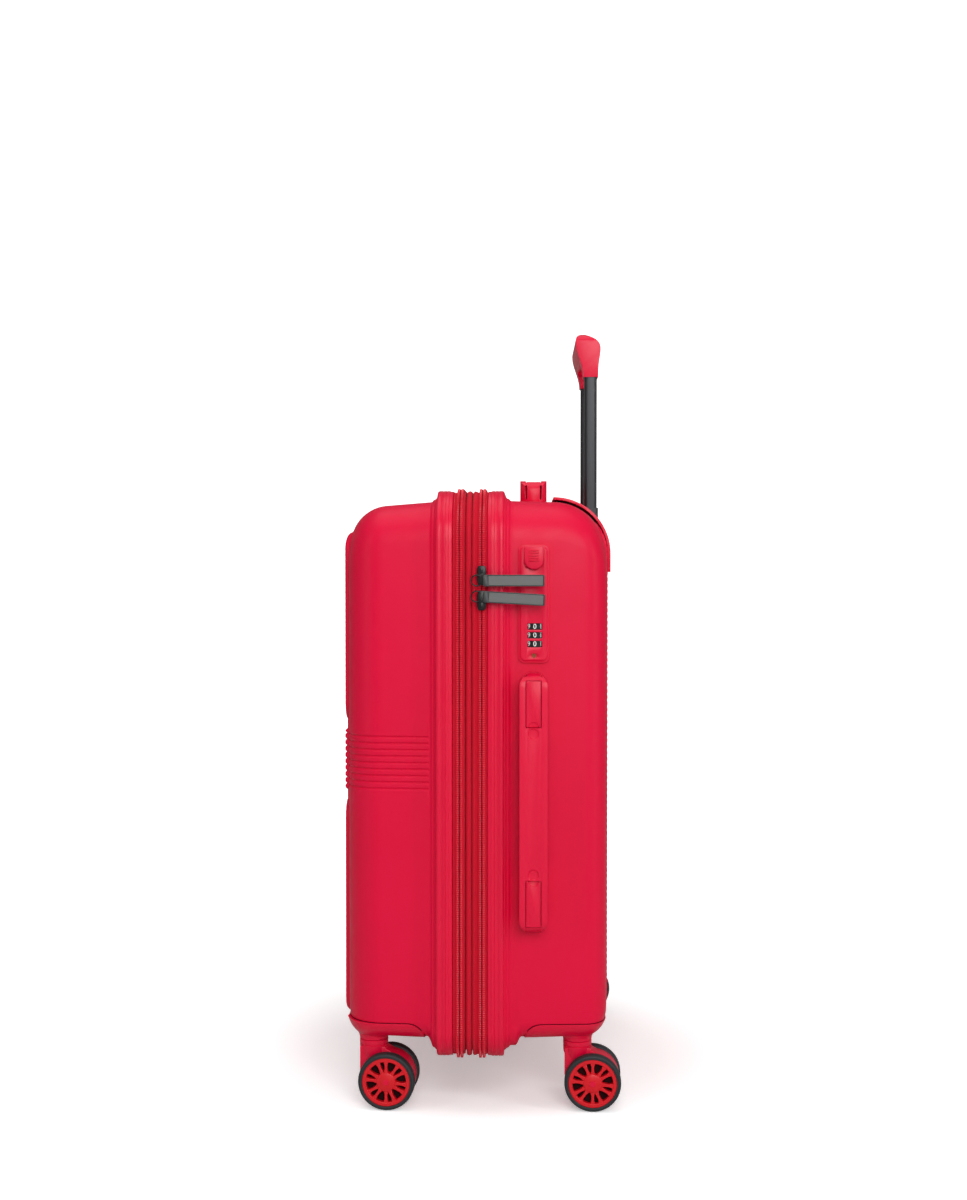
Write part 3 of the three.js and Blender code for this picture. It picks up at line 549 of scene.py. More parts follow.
def roundedRise(inside, edge, proud):
    t = np.clip(inside / edge, 0, 1)
    return np.where(inside > 0, proud * np.sqrt(1 - (1 - t) ** 2), np.maximum(inside * 2, -1.2))


def ribWave(z, pitch, depth):
    return depth * (0.5 - 0.5 * np.cos(2 * math.pi * z / pitch)) ** 2


def faceDrop(form, x, z):
    top, bottom, side = form["radii"]
    topDraft, bottomDraft, sideDraft = form["drafts"]
    run = form["face"] - form["rim"]

    def fall(beyond, radius):
        into = np.clip(beyond, 0, radius * 0.98)
        return radius - np.sqrt(radius * radius - into * into)

    upper = z - (case["high"] - run * math.tan(math.radians(topDraft)) - top)
    lower = (case["low"] + case["recess"] + run * math.tan(math.radians(bottomDraft)) + bottom) - z
    flank = np.abs(x) - (case["half"] - run * math.tan(math.radians(sideDraft)) - side)
    return fall(upper, top) + fall(lower, bottom) + fall(flank, side)


def frontHeight(x, z):
    middle = grooves["middle"]
    height = np.full(x.shape, -1.2)
    for low, high in (relief["upper"], relief["lower"]):
        inside = insideBy(x, z, relief["half"], middle + low, middle + high, relief["corner"])
        rise = roundedRise(inside, relief["edge"], relief["proud"])
        rise = rise - ribWave(z - middle, relief["ribPitch"],
                              relief["ribDepth"]) * np.clip((inside - 3) / 3, 0, 1)
        height = np.maximum(height, rise)
    low, high = relief["band"]
    inside = insideBy(x, z, relief["half"], middle + low, middle + high, 4.0)
    rise = roundedRise(inside, 3.0, relief["proud"])
    rise = rise - relief["bandDepth"] * grooveDepth(z) * np.clip(inside / 2, 0, 1)
    height = np.maximum(height, rise)
    inside = insideBy(x, z, relief["half"] - 1, middle - 52, middle + 46, 4.0)
    return np.maximum(height, roundedRise(inside, 2.5, relief["valley"]))


def rearHeight(x, z):
    r = rearRelief
    inside = insideBy(x, z, r["half"], r["low"], r["high"], r["corner"])
    rise = roundedRise(inside, r["edge"], r["proud"])
    return rise - ribWave(z, r["ribPitch"], r["ribDepth"]) * np.clip(inside / 3, 0, 1)


# A plate whose outside follows a height over the case's face and whose back lies in the shell's wall.
def reliefPlate(name, form, body, half, rows, heightOf):
    edgeSteps = [0, 0.5, 1, 1.5, 2, 2.6, 3.3, 4, 5, 6.2, 7.5, *range(9, 27, 2), 32, 45, 70, 105, 140]
    right = sorted({half - s for s in edgeSteps} | {0.0})
    columns = np.array([-x for x in reversed(right) if x > 0] + right)
    rows = np.array(rows, float)
    x, z = np.meshgrid(columns, rows)
    base = form["face"] - faceDrop(form, x, z)
    outside = base + heightOf(x, z)
    inside = base - 1.9
    wide, tall = len(columns), len(rows)
    points = [np.column_stack([x.ravel(), form["side"] * y.ravel(), z.ravel()]) for y in (outside, inside)]
    faces = []
    for j in range(tall - 1):
        for i in range(wide - 1):
            a = j * wide + i
            faces.append((a, a + 1, a + 1 + wide, a + wide))
            b = a + wide * tall
            faces.append((b, b + wide, b + 1 + wide, b + 1))
    border = [*range(wide), *[j * wide + wide - 1 for j in range(1, tall)],
              *[(tall - 1) * wide + i for i in range(wide - 2, -1, -1)],
              *[j * wide for j in range(tall - 2, 0, -1)]]
    shift = wide * tall
    for k, a in enumerate(border):
        b = border[(k + 1) % len(border)]
        faces.append((a, a + shift, b + shift, b))
    plate = meshPiece(name, np.vstack(points), faces)
    return finishPiece(plate, body, finish["shell"], sharp=50)


middle = grooves["middle"]
frontRows = sorted({*np.round(np.arange(middle - 279, middle + 244.5, 1.1), 2),
                    *np.round(np.arange(middle + 236, middle + 244, 0.55), 2),
                    *np.round(np.arange(middle - 56, middle + 50, 0.6), 2)})
reliefPlate("front_relief", frontForm, "case_front", relief["half"] + 0.6, frontRows, frontHeight)
reliefPlate("rear_ribs", rearForm, "case_back", rearRelief["half"] + 0.6,
            np.arange(rearRelief["low"] - 0.5, rearRelief["high"] + 0.6, 1.1), rearHeight)
print("front relief and rear ribs made")


# Rings that run round the case: bindings, zip tapes, piping and the expansion gusset.
def ringPath(proud, cornerSteps=14, straightSteps=1):
    half, low, high = case["half"] + proud, case["low"] - proud, case["high"] + proud
    upper, lower = case["rimRadius"] + proud, case["footRadius"] + proud
    points = []
    for x, z, start, radius in ((half - lower, low + lower, -90, lower),
                                (half - upper, high - upper, 0, upper),
                                (-half + upper, high - upper, 90, upper),
                                (-half + lower, low + lower, 180, lower)):
        for a in np.linspace(start, start + 90, cornerSteps):
            turn = math.radians(a)
            points.append((x + radius * math.cos(turn), z + radius * math.sin(turn)))
    full = []
    for i, here in enumerate(points):
        there = np.array(points[(i + 1) % len(points)])
        far = np.hypot(*(there - here)) > 60
        count = straightSteps if far else 1
        full += [tuple(np.array(here) + (there - here) * k / count) for k in range(count)]
    return np.array(full)


def sweepRing(name, section, cornerSteps=14, straightSteps=1, closed=True):
    loops = [ringPath(p, cornerSteps, straightSteps) for y, p in section]
    count = len(loops[0])
    points = np.vstack([np.column_stack([loop[:, 0], np.full(count, y), loop[:, 1]])
                        for loop, (y, p) in zip(loops, section)])
    middleLoop = loops[len(loops) // 2]
    steps = np.hypot(*(np.roll(middleLoop, -1, 0) - middleLoop).T)
    along = np.concatenate([[0], np.cumsum(steps)]) / 1000
    across = np.concatenate([[0], np.cumsum(np.hypot(*np.diff(np.array(section), axis=0).T))]) / 1000
    across = np.append(across, across[-1] + 0.001)
    rows = len(section) if closed else len(section) - 1
    faces, uv = [], []
    for j in range(rows):
        k = (j + 1) % len(section)
        for i in range(count):
            n = (i + 1) % count
            faces.append((j * count + i, j * count + n, k * count + n, k * count + i))
            uv += [(along[i], across[j]), (along[i + 1], across[j]), (along[i + 1], across[j + 1]),
                   (along[i], across[j + 1])]
    return meshPiece(name, points, faces, cornerUv=uv)


# Section of a binding, as (distance from its shell's side, how far it stands proud).
bindingSection = [(0, 0.4), (0, 7.4), (0.25, 8.7), (0.9, 9.6), (2.0, 10.0), (5.6, 10.0), (5.9, 9.65),
                  (6.3, 9.65),
                  (6.6, 10.0), (9.4, 10.0), (9.7, 9.6), (10.1, 9.6), (10.4, 10.0), (13.0, 10.0),
                  (13.4, 9.5),
                  (13.9, 9.4), (16.4, 9.4), (17.0, 9.1), (17.3, 8.4), (17.3, 0.4)]


def makeBindings():
    front = [(frontBindingLow[1] + u, p) for u, p in bindingSection]
    rear = [(rearBindingHigh[1] - u, p) for u, p in bindingSection]
    finishPiece(sweepRing("front_edge_binding", front), "case_front", finish["trim"],
                "front_binding", 50)
    finishPiece(sweepRing("rear_edge_binding", rear), "case_back", finish["trim"], "rear_binding",
                50)


# Zips. A coil bead on each tape, with teeth placed along it, and rows of stitches on the tape.
zipForm = {"pitch": 2.3, "coil": 3.5, "top": 12.2, "tape": 8.2, "toothWide": 1.35, "toothTall": 0.75,
           "stitchPitch": 2.6, "stitch": (1.7, 0.55, 0.5)}


def beadSection(y0, y1, base, top, steps=9):
    centre, half = (y0 + y1) / 2, (y1 - y0) / 2
    return [(centre - half * math.cos(a), base + (top - base) * math.sin(a) ** 0.7)
            for a in np.linspace(0, math.pi, steps)]


def capsule(name, length, wide, tall, rings=5, sides=8):
    points, faces = [], []
    for i in range(rings):
        t = -1 + 2 * (i + 0.5) / rings
        r = (1 - abs(t) ** 3) ** 0.5
        for k in range(sides):
            a = 2 * math.pi * k / sides
            points.append((wide / 2 * r * math.cos(a), t * length / 2, tall * r * math.sin(a)))
    for i in range(rings - 1):
        for k in range(sides):
            n = (k + 1) % sides
            faces.append((i * sides + k, i * sides + n, (i + 1) * sides + n, (i + 1) * sides + k))
    faces += [tuple(range(sides))[::-1], tuple(range((rings - 1) * sides, rings * sides))]
    return meshPiece(name, points, faces)


# Geometry nodes that set a small shape at an even spacing along a closed path round the case.
def alongRingTree():
    tree = bpy.data.node_groups.new("alongTheRim", "GeometryNodeTree")
    tree.interface.new_socket("Geometry", in_out="INPUT", socket_type="NodeSocketGeometry")
    for name, kind in (("Shape", "NodeSocketObject"), ("Spacing", "NodeSocketFloat"),
                       ("Finish", "NodeSocketMaterial")):
        tree.interface.new_socket(name, in_out="INPUT", socket_type=kind)
    tree.interface.new_socket("Geometry", in_out="OUTPUT", socket_type="NodeSocketGeometry")
    given = addNode(tree, "NodeGroupInput").outputs
    path = addNode(tree, "GeometryNodeMeshToCurve", {"Mesh": given["Geometry"]})
    spaced = addNode(tree, "GeometryNodeResampleCurve",
                     {"Curve": path.outputs["Curve"], "Length": given["Spacing"]},
                     mode="LENGTH")
    tangent = addNode(tree, "GeometryNodeInputTangent")
    outward = addNode(tree, "ShaderNodeVectorMath", {0: (0.0, 1.0, 0.0), 1: tangent.outputs["Tangent"]},
                      operation="CROSS_PRODUCT")
    facing = addNode(tree, "FunctionNodeAlignRotationToVector", {"Vector": outward.outputs["Vector"]},
                     axis="Z")
    turned = addNode(tree, "FunctionNodeAlignRotationToVector", {"Rotation": facing.outputs["Rotation"],
                     "Vector": tangent.outputs["Tangent"]}, axis="X", pivot_axis="Z")
    shape = addNode(tree, "GeometryNodeObjectInfo", {"Object": given["Shape"]})
    copies = addNode(tree, "GeometryNodeInstanceOnPoints", {"Points": spaced.outputs["Curve"],
                     "Instance": shape.outputs["Geometry"], "Rotation": turned.outputs["Rotation"]})
    real = addNode(tree, "GeometryNodeRealizeInstances", {"Geometry": copies.outputs["Instances"]})
    dressed = addNode(tree, "GeometryNodeSetMaterial", {"Geometry": real.outputs["Geometry"],
                      "Material": given["Finish"]})
    addNode(tree, "NodeGroupOutput", {"Geometry": dressed.outputs["Geometry"]})
    return tree


def socketId(tree, name):
    return next(item.identifier for item in tree.interface.items_tree
                if item.item_type == "SOCKET" and item.in_out == "INPUT" and item.name == name)


def setAlong(name, tree, y, proud, shape, spacing, material, body):
    path = ringPath(proud, 16)
    points = np.column_stack([path[:, 0], np.full(len(path), y), path[:, 1]])
    mesh = bpy.data.meshes.new(name)
    mesh.from_pydata((points / 1000).tolist(), [(i, (i + 1) % len(points)) for i in range(len(points))], [])
    row = bpy.data.objects.new(name, mesh)
    scene.collection.objects.link(row)
    length = np.hypot(*(np.roll(path, -1, 0) - path).T).sum()
    spread = row.modifiers.new("row", "NODES")
    spread.node_group = tree
    spread[socketId(tree, "Shape")] = shape
    spread[socketId(tree, "Spacing")] = float(length / round(length / spacing) / 1000)
    spread[socketId(tree, "Finish")] = material
    return finishPiece(plainMesh(row), body, material)


def makeZips():
    z = zipForm
    rearLow, rearHigh = boxOf("main_zip_rear_tape")
    bandHigh = boxOf("zip_band")[1]
    mateLow, mateHigh = boxOf("expansion_zip_front_tape")
    under, tape, top, coil = -2.0, z["tape"], z["top"], z["coil"]
    rear = [(rearLow[1], under), *beadSection(rearLow[1] + 0.05, rearLow[1] + coil, tape, top - 0.7),
            (rearHigh[1] - 0.9, tape), (rearHigh[1], tape - 0.4), (rearHigh[1], under)]
    mate = [(mateHigh[1], under), *beadSection(mateHigh[1] - 0.05, mateHigh[1] - coil, tape, top - 0.7),
            (mateLow[1] + 0.9, tape), (mateLow[1], tape - 0.4), (mateLow[1], under)]
    piping = boxOf("zip_band")[0][1]
    band = [(bandHigh[1], under), *beadSection(bandHigh[1] - 0.05, bandHigh[1] - coil, tape, top - 0.7),
            (bandHigh[1] - 4.6, 8.4), (bandHigh[1] - 6.6, 9.3), (bandHigh[1] - 8.6, 9.4),
            (bandHigh[1] - 9.6, 8.4),
            (bandHigh[1] - 9.9, 4.2), (bandHigh[1] - 10.6, 4.0), (bandHigh[1] - 10.9, 8.2),
            (bandHigh[1] - 11.8, 9.5), (bandHigh[1] - 14.8, 9.6), (bandHigh[1] - 16.0, 8.6),
            (bandHigh[1] - 16.3, 4.0), (bandHigh[1] - 17.4, 3.8), (bandHigh[1] - 17.7, 7.8),
            (bandHigh[1] - 18.6, tape),
            *beadSection(piping + coil, piping + 0.05, tape, top - 0.7), (piping, under)]
    finishPiece(sweepRing("main_zip_tape", rear), "case_back", finish["tape"],
                "main_zip_rear_tape", 60)
    finishPiece(sweepRing("expansion_zip_tape", mate), "case_front", finish["tape"],
                "expansion_zip_front_tape", 60)
    finishPiece(sweepRing("expansion_band", band), "zip_band", finish["tape"], "zip_band", 60)

    tree = alongRingTree()
    tooth = capsule("tooth", coil * 0.94, z["toothWide"], z["toothTall"])
    long, wide, tall = z["stitch"]
    stitch = capsule("stitch", wide, long, tall, 4, 6)
    crown = top - 0.75
    rows = [("main_coil_rear", rearLow[1] + coil / 2, "case_back"),
            ("main_coil_front", bandHigh[1] - coil / 2, "zip_band"),
            ("expansion_coil_rear", piping + coil / 2, "zip_band"),
            ("expansion_coil_front", mateHigh[1] - coil / 2, "case_front")]
    for name, y, body in rows:
        setAlong(name, tree, y, crown, tooth, z["pitch"], finish["coil"], body)
    seams = [("main_stitch_rear", rearHigh[1] - 1.0, tape, "case_back"),
             ("band_stitch_main", bandHigh[1] - 7.6, 9.45, "zip_band"),
             ("band_stitch_expansion", bandHigh[1] - 13.3, 9.65, "zip_band"),
             ("expansion_stitch_front", mateLow[1] + 1.1, tape, "case_front")]
    for name, y, proud, body in seams:
        setAlong(name, tree, y, proud, stitch, z["stitchPitch"], finish["coil"], body)
    bpy.data.objects.remove(tooth)
    bpy.data.objects.remove(stitch)


# The expansion's gusset: one strip of coated nylon, folded inward behind the zips.
gusset = {"fold": 20.0, "thick": 0.7, "clear": 5.0}


def makeGusset():
    low, high = boxOf("expansion_gusset")
    start, end = high[1] - 1, low[1] + 1
    rest = -gusset["clear"]
    ys = np.linspace(start, end, 15)
    t = np.linspace(0, 1, 15)
    line = [(y, rest - gusset["fold"] * (1 - abs(2 * k - 1) ** 1.3)) for y, k in zip(ys, t)]
    back = [(y, p - gusset["thick"]) for y, p in reversed(line)]
    piece = sweepRing("expansion_gusset_cloth", line + back, 10, 30)
    finishPiece(piece, None, finish["gusset"], "expansion_gusset", 70)
    path = ringPath(rest - gusset["fold"] / 2)
    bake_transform(piece)


makeBindings()
makeZips()
makeGusset()
print("bindings, zips and gusset made")


# Small solid builders, in millimetres.
def roundedOutline(wide, tall, corner, u=0.0, v=0.0, steps=6):
    points = []
    for cu, cv, start in ((1, -1, -90), (1, 1, 0), (-1, 1, 90), (-1, -1, 180)):
        for a in np.linspace(start, start + 90, steps):
            turn = math.radians(a)
            points.append((u + cu * (wide / 2 - corner) + corner * math.cos(turn),
                           v + cv * (tall / 2 - corner) + corner * math.sin(turn)))
    return points


# An outline pushed along an axis: "x" takes (y, z) outlines, "y" takes (x, z) and "z" takes (x, y).
def prism(name, outline, axis, low, high):
    count = len(outline)
    order = {"x": lambda u, v, w: (w, u, v), "y": lambda u, v, w: (u, w, v),
             "z": lambda u, v, w: (u, v, w)}[axis]
    points = [order(u, v, w) for w in (low, high) for u, v in outline]
    faces = [tuple(range(count))[::-1], tuple(range(count, 2 * count))]
    faces += [(i, (i + 1) % count, count + (i + 1) % count, count + i) for i in range(count)]
    return meshPiece(name, points, faces)


def lathed(name, profile, axis, centre, sides=48):
    rings, faces = [], []
    for r, h in profile:
        for k in range(sides):
            a = 2 * math.pi * k / sides
            spin = (r * math.cos(a), r * math.sin(a))
            rings.append({"x": (h, *spin), "z": (*spin, h)}[axis])
    rows = len(profile)
    for j in range(rows):
        m = (j + 1) % rows
        for k in range(sides):
            n = (k + 1) % sides
            faces.append((j * sides + k, j * sides + n, m * sides + n, m * sides + k))
    piece = meshPiece(name, np.array(rings) + np.array(centre), faces, recalculate=False)
    work = bmesh.new()
    work.from_mesh(piece.data)
    bmesh.ops.remove_doubles(work, verts=work.verts, dist=1e-6)
    bmesh.ops.dissolve_degenerate(work, edges=work.edges, dist=1e-7)
    bmesh.ops.recalc_face_normals(work, faces=work.faces)
    work.to_mesh(piece.data)
    work.free()
    return piece


def shaped(piece, tool, operation):
    cut = piece.modifiers.new("cut", "BOOLEAN")
    cut.object = tool
    cut.operation = operation
    cut.solver = "EXACT"
    plainMesh(piece)
    bpy.data.objects.remove(tool)
    return piece


def moved(piece, matrix):
    piece.data.transform(matrix)
    if matrix.determinant() < 0:
        piece.data.flip_normals()
    return piece


def shift(x, y, z):
    return Matrix.Translation((x / 1000, y / 1000, z / 1000))


# Corner guards: a skin over the shell's lower corner, ending inward in a quarter round.
guard = {"gap": 0.2, "thick": 1.1, "inward": 110.0, "height": 27.0, "round": 18.0,
         "end": {"front": 61.0, "rear": 44.5},
         "frontSwell": 2.6, "joint": 0.7}


def guardSurface(form, sign, grow, half, margin=0.0, alongSteps=34, roundSteps=18, flatSteps=10):
    end = guard["end"][half] - margin
    top = case["low"] + guard["height"] + margin

    def lowAt(depth):
        swell = np.interp(depth, [100, 130], [0, guard["frontSwell"]]) if half == "front" else 0.0
        g = grow + (swell if grow > 1 else 0)
        run, face = depth - form["rim"], form["face"] + g
        inset = lambda r, draft: run * math.tan(math.radians(draft)) + float(edgeInset(depth, face, r + g))
        sideInset = inset(form["radii"][2], form["drafts"][2]) - g
        radius = max(case["footRadius"] + g - 0.35 * sideInset, 12)
        low = case["low"] + inset(form["radii"][1], form["drafts"][1]) + float(stepUp(form, depth, g)) - g
        return low, case["half"] - sideInset, radius

    lowest, highest = end, form["face"] + grow
    for _ in range(40):
        guess = (lowest + highest) / 2
        if lowAt(guess)[0] < top - 0.05:
            lowest = guess
        else:
            highest = guess
    points = []
    for v in np.linspace(0, 1, alongSteps):
        depth = end + (lowest - end) * (1 - (1 - v) ** 1.7)
        low, wide, radius = lowAt(depth)
        rise = np.clip((depth - end) / guard["round"], 0.02, 1)
        limit = low + 0.4 + (top - low - 0.4) * math.sqrt(1 - (1 - rise) ** 2)
        limit = max(min(limit, top), low + 0.02)
        highestTurn = math.asin(np.clip((limit - low) / radius - 1, -1, 1))
        for t in np.linspace(0, 1, flatSteps):
            points.append((sign * (guard["inward"] + (wide - radius - guard["inward"]) * t),
                           form["side"] * depth, low))
        for a in np.linspace(-math.pi / 2, highestTurn, roundSteps)[1:]:
            points.append((sign * (wide - radius + radius * math.cos(a)), form["side"] * depth,
                           low + radius + radius * math.sin(a)))
    return points, alongSteps, flatSteps + roundSteps - 1


def guardSkin(name, form, sign, half, low, high, margin):
    outer, tall, wide = guardSurface(form, sign, high, half, margin)
    inner, _, _ = guardSurface(form, sign, low, half, margin)
    count = tall * wide
    faces = []
    for j in range(tall - 1):
        for i in range(wide - 1):
            a = j * wide + i
            faces.append((a, a + 1, a + 1 + wide, a + wide))
            faces.append((a + count, a + wide + count, a + 1 + wide + count, a + 1 + count))
    border = [*range(wide), *[j * wide + wide - 1 for j in range(1, tall)],
              *[(tall - 1) * wide + i for i in range(wide - 2, -1, -1)],
              *[j * wide for j in range(tall - 2, 0, -1)]]
    for k, a in enumerate(border):
        b = border[(k + 1) % len(border)]
        faces.append((a, a + count, b + count, b))
    return meshPiece(name, outer + inner, faces)


def makeGuard(half, side):
    form = frontForm if half == "front" else rearForm
    sign = 1 if side == "right" else -1
    body = "case_front" if half == "front" else "case_back"
    piece = guardSkin("skin", form, sign, half, guard["gap"], guard["gap"] + guard["thick"], 0.0)
    softened(piece, 0.45, 2, 50)
    # painted shade of the joint round the guard: a dark skin a little wider than it
    joint = guardSkin(f"{half}_guard_joint_{side}", form, sign, half, 0.04, guard["gap"] + 0.12,
                      guard["joint"])
    finishPiece(joint, body, finish["shadow"], (), 60)
    axis = casterAxis(half, side)[0]
    stem = boxOf(f"{half}_corner_guard_{side}")[0][2]
    collar = lathed("collar", [(0, stem + 16), (24, stem + 15), (18.5, stem + 9.5), (16.0, stem + 4.5),
                               (15.3, stem + 1.5),
                    (15.3, stem + 0.6), (14.8, stem + 0.1), (0, stem + 0.1)], "z", (axis[0], axis[1], 0))
    collar.data.materials.append(finish["trim"])
    piece.data.materials.append(finish["trim"])
    whole = joined(f"{half}_guard_{side}", [piece, collar])
    finishPiece(whole, body, finish["trim"], f"{half}_corner_guard_{side}", 40)


# Casters: swivel axis, turn and axle worked out from the two wheels as they stand.
casterForm = {"trail": 16.3, "forkHalf": 11.0, "fender": 28.4, "collar": 15.2, "spokes": 12, "pairing": 3.0,
              "hub": 10.4, "ringInner": 21.4, "ring": 25.6, "tyre": 30.0, "half": 6.0}


def casterAxis(half, side):
    place = f"{half}_{side}"
    lowA, highA = boxOf(f"wheel_tyre_{place}_a")
    lowB, highB = boxOf(f"wheel_tyre_{place}_b")
    centreA, centreB = (lowA + highA) / 2, (lowB + highB) / 2
    along = (centreA - centreB) / np.linalg.norm(centreA - centreB)
    turn = math.atan2(along[1], along[0])
    axle = (centreA + centreB) / 2
    back = np.array([-math.sin(turn), math.cos(turn), 0])
    return axle - back * casterForm["trail"], turn, centreA, centreB


# Geometry nodes that repeat a shape round an axle, with every other one nudged to make pairs.
def roundAxleTree():
    tree = bpy.data.node_groups.new("roundTheAxle", "GeometryNodeTree")
    tree.interface.new_socket("Geometry", in_out="INPUT", socket_type="NodeSocketGeometry")
    for name, kind in (("Count", "NodeSocketInt"), ("Pairing", "NodeSocketFloat"),
                       ("Finish", "NodeSocketMaterial")):
        tree.interface.new_socket(name, in_out="INPUT", socket_type=kind)
    tree.interface.new_socket("Geometry", in_out="OUTPUT", socket_type="NodeSocketGeometry")
    given = addNode(tree, "NodeGroupInput").outputs
    places = addNode(tree, "GeometryNodePoints", {"Count": given["Count"]})
    index = addNode(tree, "GeometryNodeInputIndex")
    step = addNode(tree, "ShaderNodeMath", {0: 2 * math.pi, 1: given["Count"]}, operation="DIVIDE")
    turn = addNode(tree, "ShaderNodeMath", {0: index.outputs["Index"], 1: step.outputs["Value"]},
                   operation="MULTIPLY")
    odd = addNode(tree, "ShaderNodeMath", {0: index.outputs["Index"], 1: 2.0}, operation="MODULO")
    nudge = addNode(tree, "ShaderNodeMath", {0: odd.outputs["Value"], 1: given["Pairing"]},
                    operation="MULTIPLY")
    whole = addNode(tree, "ShaderNodeMath", {0: turn.outputs["Value"], 1: nudge.outputs["Value"]},
                    operation="ADD")
    spin = addNode(tree, "ShaderNodeCombineXYZ", {"X": whole.outputs["Value"]})
    facing = addNode(tree, "FunctionNodeEulerToRotation", {"Euler": spin.outputs["Vector"]})
    copies = addNode(tree, "GeometryNodeInstanceOnPoints", {"Points": places.outputs["Points"],
                     "Instance": given["Geometry"], "Rotation": facing.outputs["Rotation"]})
    real = addNode(tree, "GeometryNodeRealizeInstances", {"Geometry": copies.outputs["Instances"]})
    dressed = addNode(tree, "GeometryNodeSetMaterial",
                      {"Geometry": real.outputs["Geometry"], "Material": given["Finish"]})
    addNode(tree, "NodeGroupOutput", {"Geometry": dressed.outputs["Geometry"]})
    return tree


def makeWheel(name, body, centre, turn, tree, outward, replaced):
    f = casterForm
    half = f["half"]
    inner, ring = f["ringInner"], f["ring"]
    hoop = lathed("hoop", [(inner, -half + 0.9), (inner + 0.7, -half + 0.2), (ring - 0.6, -half + 0.2),
                           (ring, -half + 0.8),
                  (ring, half - 0.8), (ring - 0.6, half - 0.2), (inner + 0.7, half - 0.2),
                  (inner, half - 0.9)], "x",
                  (0, 0, 0), 64)
    hub = lathed("hub", [(0, -half + 0.1), (f["hub"] - 1.6, -half + 0.1), (f["hub"] - 0.5, -half + 0.7),
                         (f["hub"], -half + 1.8),
                 (f["hub"], half - 1.8), (f["hub"] - 0.5, half - 0.7), (f["hub"] - 1.6, half - 0.1),
                 (0, half - 0.1)], "x",
                 (0, 0, 0), 48)
    # one spoke, standing up from the hub: wide at the hub, waisted, and flared into the ring
    outline = [(-2.3, f["hub"] - 0.6), (-1.5, 13.2), (-1.45, 17.8), (-2.7, inner + 0.5), (2.7, inner + 0.5),
               (1.45, 17.8),
               (1.5, 13.2), (2.3, f["hub"] - 0.6)]
    spoke = prism("spoke", outline, "x", -half + 1.0, half - 0.7)
    softened(spoke, 0.35, 1)
    spokes = spoke.modifiers.new("spokes", "NODES")
    spokes.node_group = tree
    spokes[socketId(tree, "Count")] = f["spokes"]
    spokes[socketId(tree, "Pairing")] = math.radians(-2 * f["pairing"])
    spokes[socketId(tree, "Finish")] = finish["rim"]
    plainMesh(spoke)
    for part in (hoop, hub):
        part.data.materials.append(finish["rim"])
    rim = joined(name.replace("wheel", "wheel_spokes"), [hoop, hub, spoke])
    # a dark disc between hub and hoop, behind the spokes: painted shade of the wheel's hollow inside
    shadeDisc = lathed(name.replace("wheel", "wheel_web"),
                 [(f["hub"] - 0.3, -0.9 * outward - 0.5), (inner + 0.2, -0.9 * outward - 0.5),
                 (inner + 0.2, -0.9 * outward + 0.5), (f["hub"] - 0.3, -0.9 * outward + 0.5)], "x",
                 (0, 0, 0), 48)
    tyre = f["tyre"]
    tread = lathed(name.replace("wheel", "wheel_tread"),
                   [(ring + 0.1, -half), (ring + 0.9, -half - 0.25), (ring + 1.7, -half - 0.3),
                   (ring + 1.95, -half + 0.05), (ring + 2.2, -half - 0.25), (tyre - 1.2, -half),
                   (tyre - 0.35, -half + 0.9),
                   (tyre, -half + 2.2), (tyre, half - 2.2), (tyre - 0.35, half - 0.9), (tyre - 1.2, half),
                   (ring + 2.2, half + 0.25),
                   (ring + 1.95, half - 0.05), (ring + 1.7, half + 0.3), (ring + 0.9, half + 0.25),
                   (ring + 0.1, half)], "x",
                   (0, 0, 0), 72)
    stand = shift(*centre) @ Matrix.Rotation(turn, 4, "Z")
    for part, slotName, material, instead in ((rim, "wheel_rim", "rim", replaced[0]),
                                              (shadeDisc, "wheel_rim", "shadow", ()),
                                              (tread, "tyre", "tyre", replaced[1])):
        finishPiece(moved(part, stand), body, finish[material], instead, 40)


def makeFork(half, side):
    f = casterForm
    axis, turn, _, _ = casterAxis(half, side)
    name = f"caster_fork_{half}_{side}"
    low, high = boxOf(name)
    r, trail, drop = f["fender"], f["trail"], 30.0
    outline = [(-13.6, high[2] - 7), (-13.6, 36)]
    outline += [(trail + r * math.cos(a) if trail + r * math.cos(a) > -13.6 else -13.6,
                 drop + r * math.sin(a))
                for a in np.radians(np.arange(186, 215, 7))]
    outline += [(trail + r * math.cos(a), drop + r * math.sin(a))
                for a in np.radians(np.arange(216, 231, 7))]
    outline += [(trail - 6, 9.0), (trail + 12, 9.0)]
    outline += [(trail + r * math.cos(a), drop + r * math.sin(a))
                for a in np.radians(np.arange(-46, 82, 6))]
    outline += [(14.0, high[2] - 9), (14.0, high[2] - 7)]
    arm = prism("arm", outline, "x", -f["forkHalf"], f["forkHalf"])
    softened(arm, 1.4, 3, 40)
    top = high[2]
    collar = f["collar"]
    ring = lathed("ring", [(0, top), (collar - 0.5, top), (collar, top - 0.5), (collar, top - 4.2),
                           (collar - 0.9, top - 4.7),
                  (collar - 0.9, top - 5.3), (collar - 0.1, top - 5.8), (collar - 0.3, top - 12),
                  (collar - 2.6, top - 19),
                  (collar - 6.5, top - 26), (0, top - 27)], "z", (0, 0, 0))
    axle = lathed("axle", [(0, -25.6), (2.9, -25.6), (2.9, 25.6), (0, 25.6)], "x", (0, trail, drop), 24)
    for part in (arm, ring, axle):
        part.data.materials.append(finish["trim"])
    whole = joined(f"fork_{half}_{side}", [arm, ring, axle])
    moved(whole, shift(axis[0], axis[1], 0) @ Matrix.Rotation(turn, 4, "Z"))
    finishPiece(whole, f"caster_{half}_{side}", finish["trim"], name, 35)


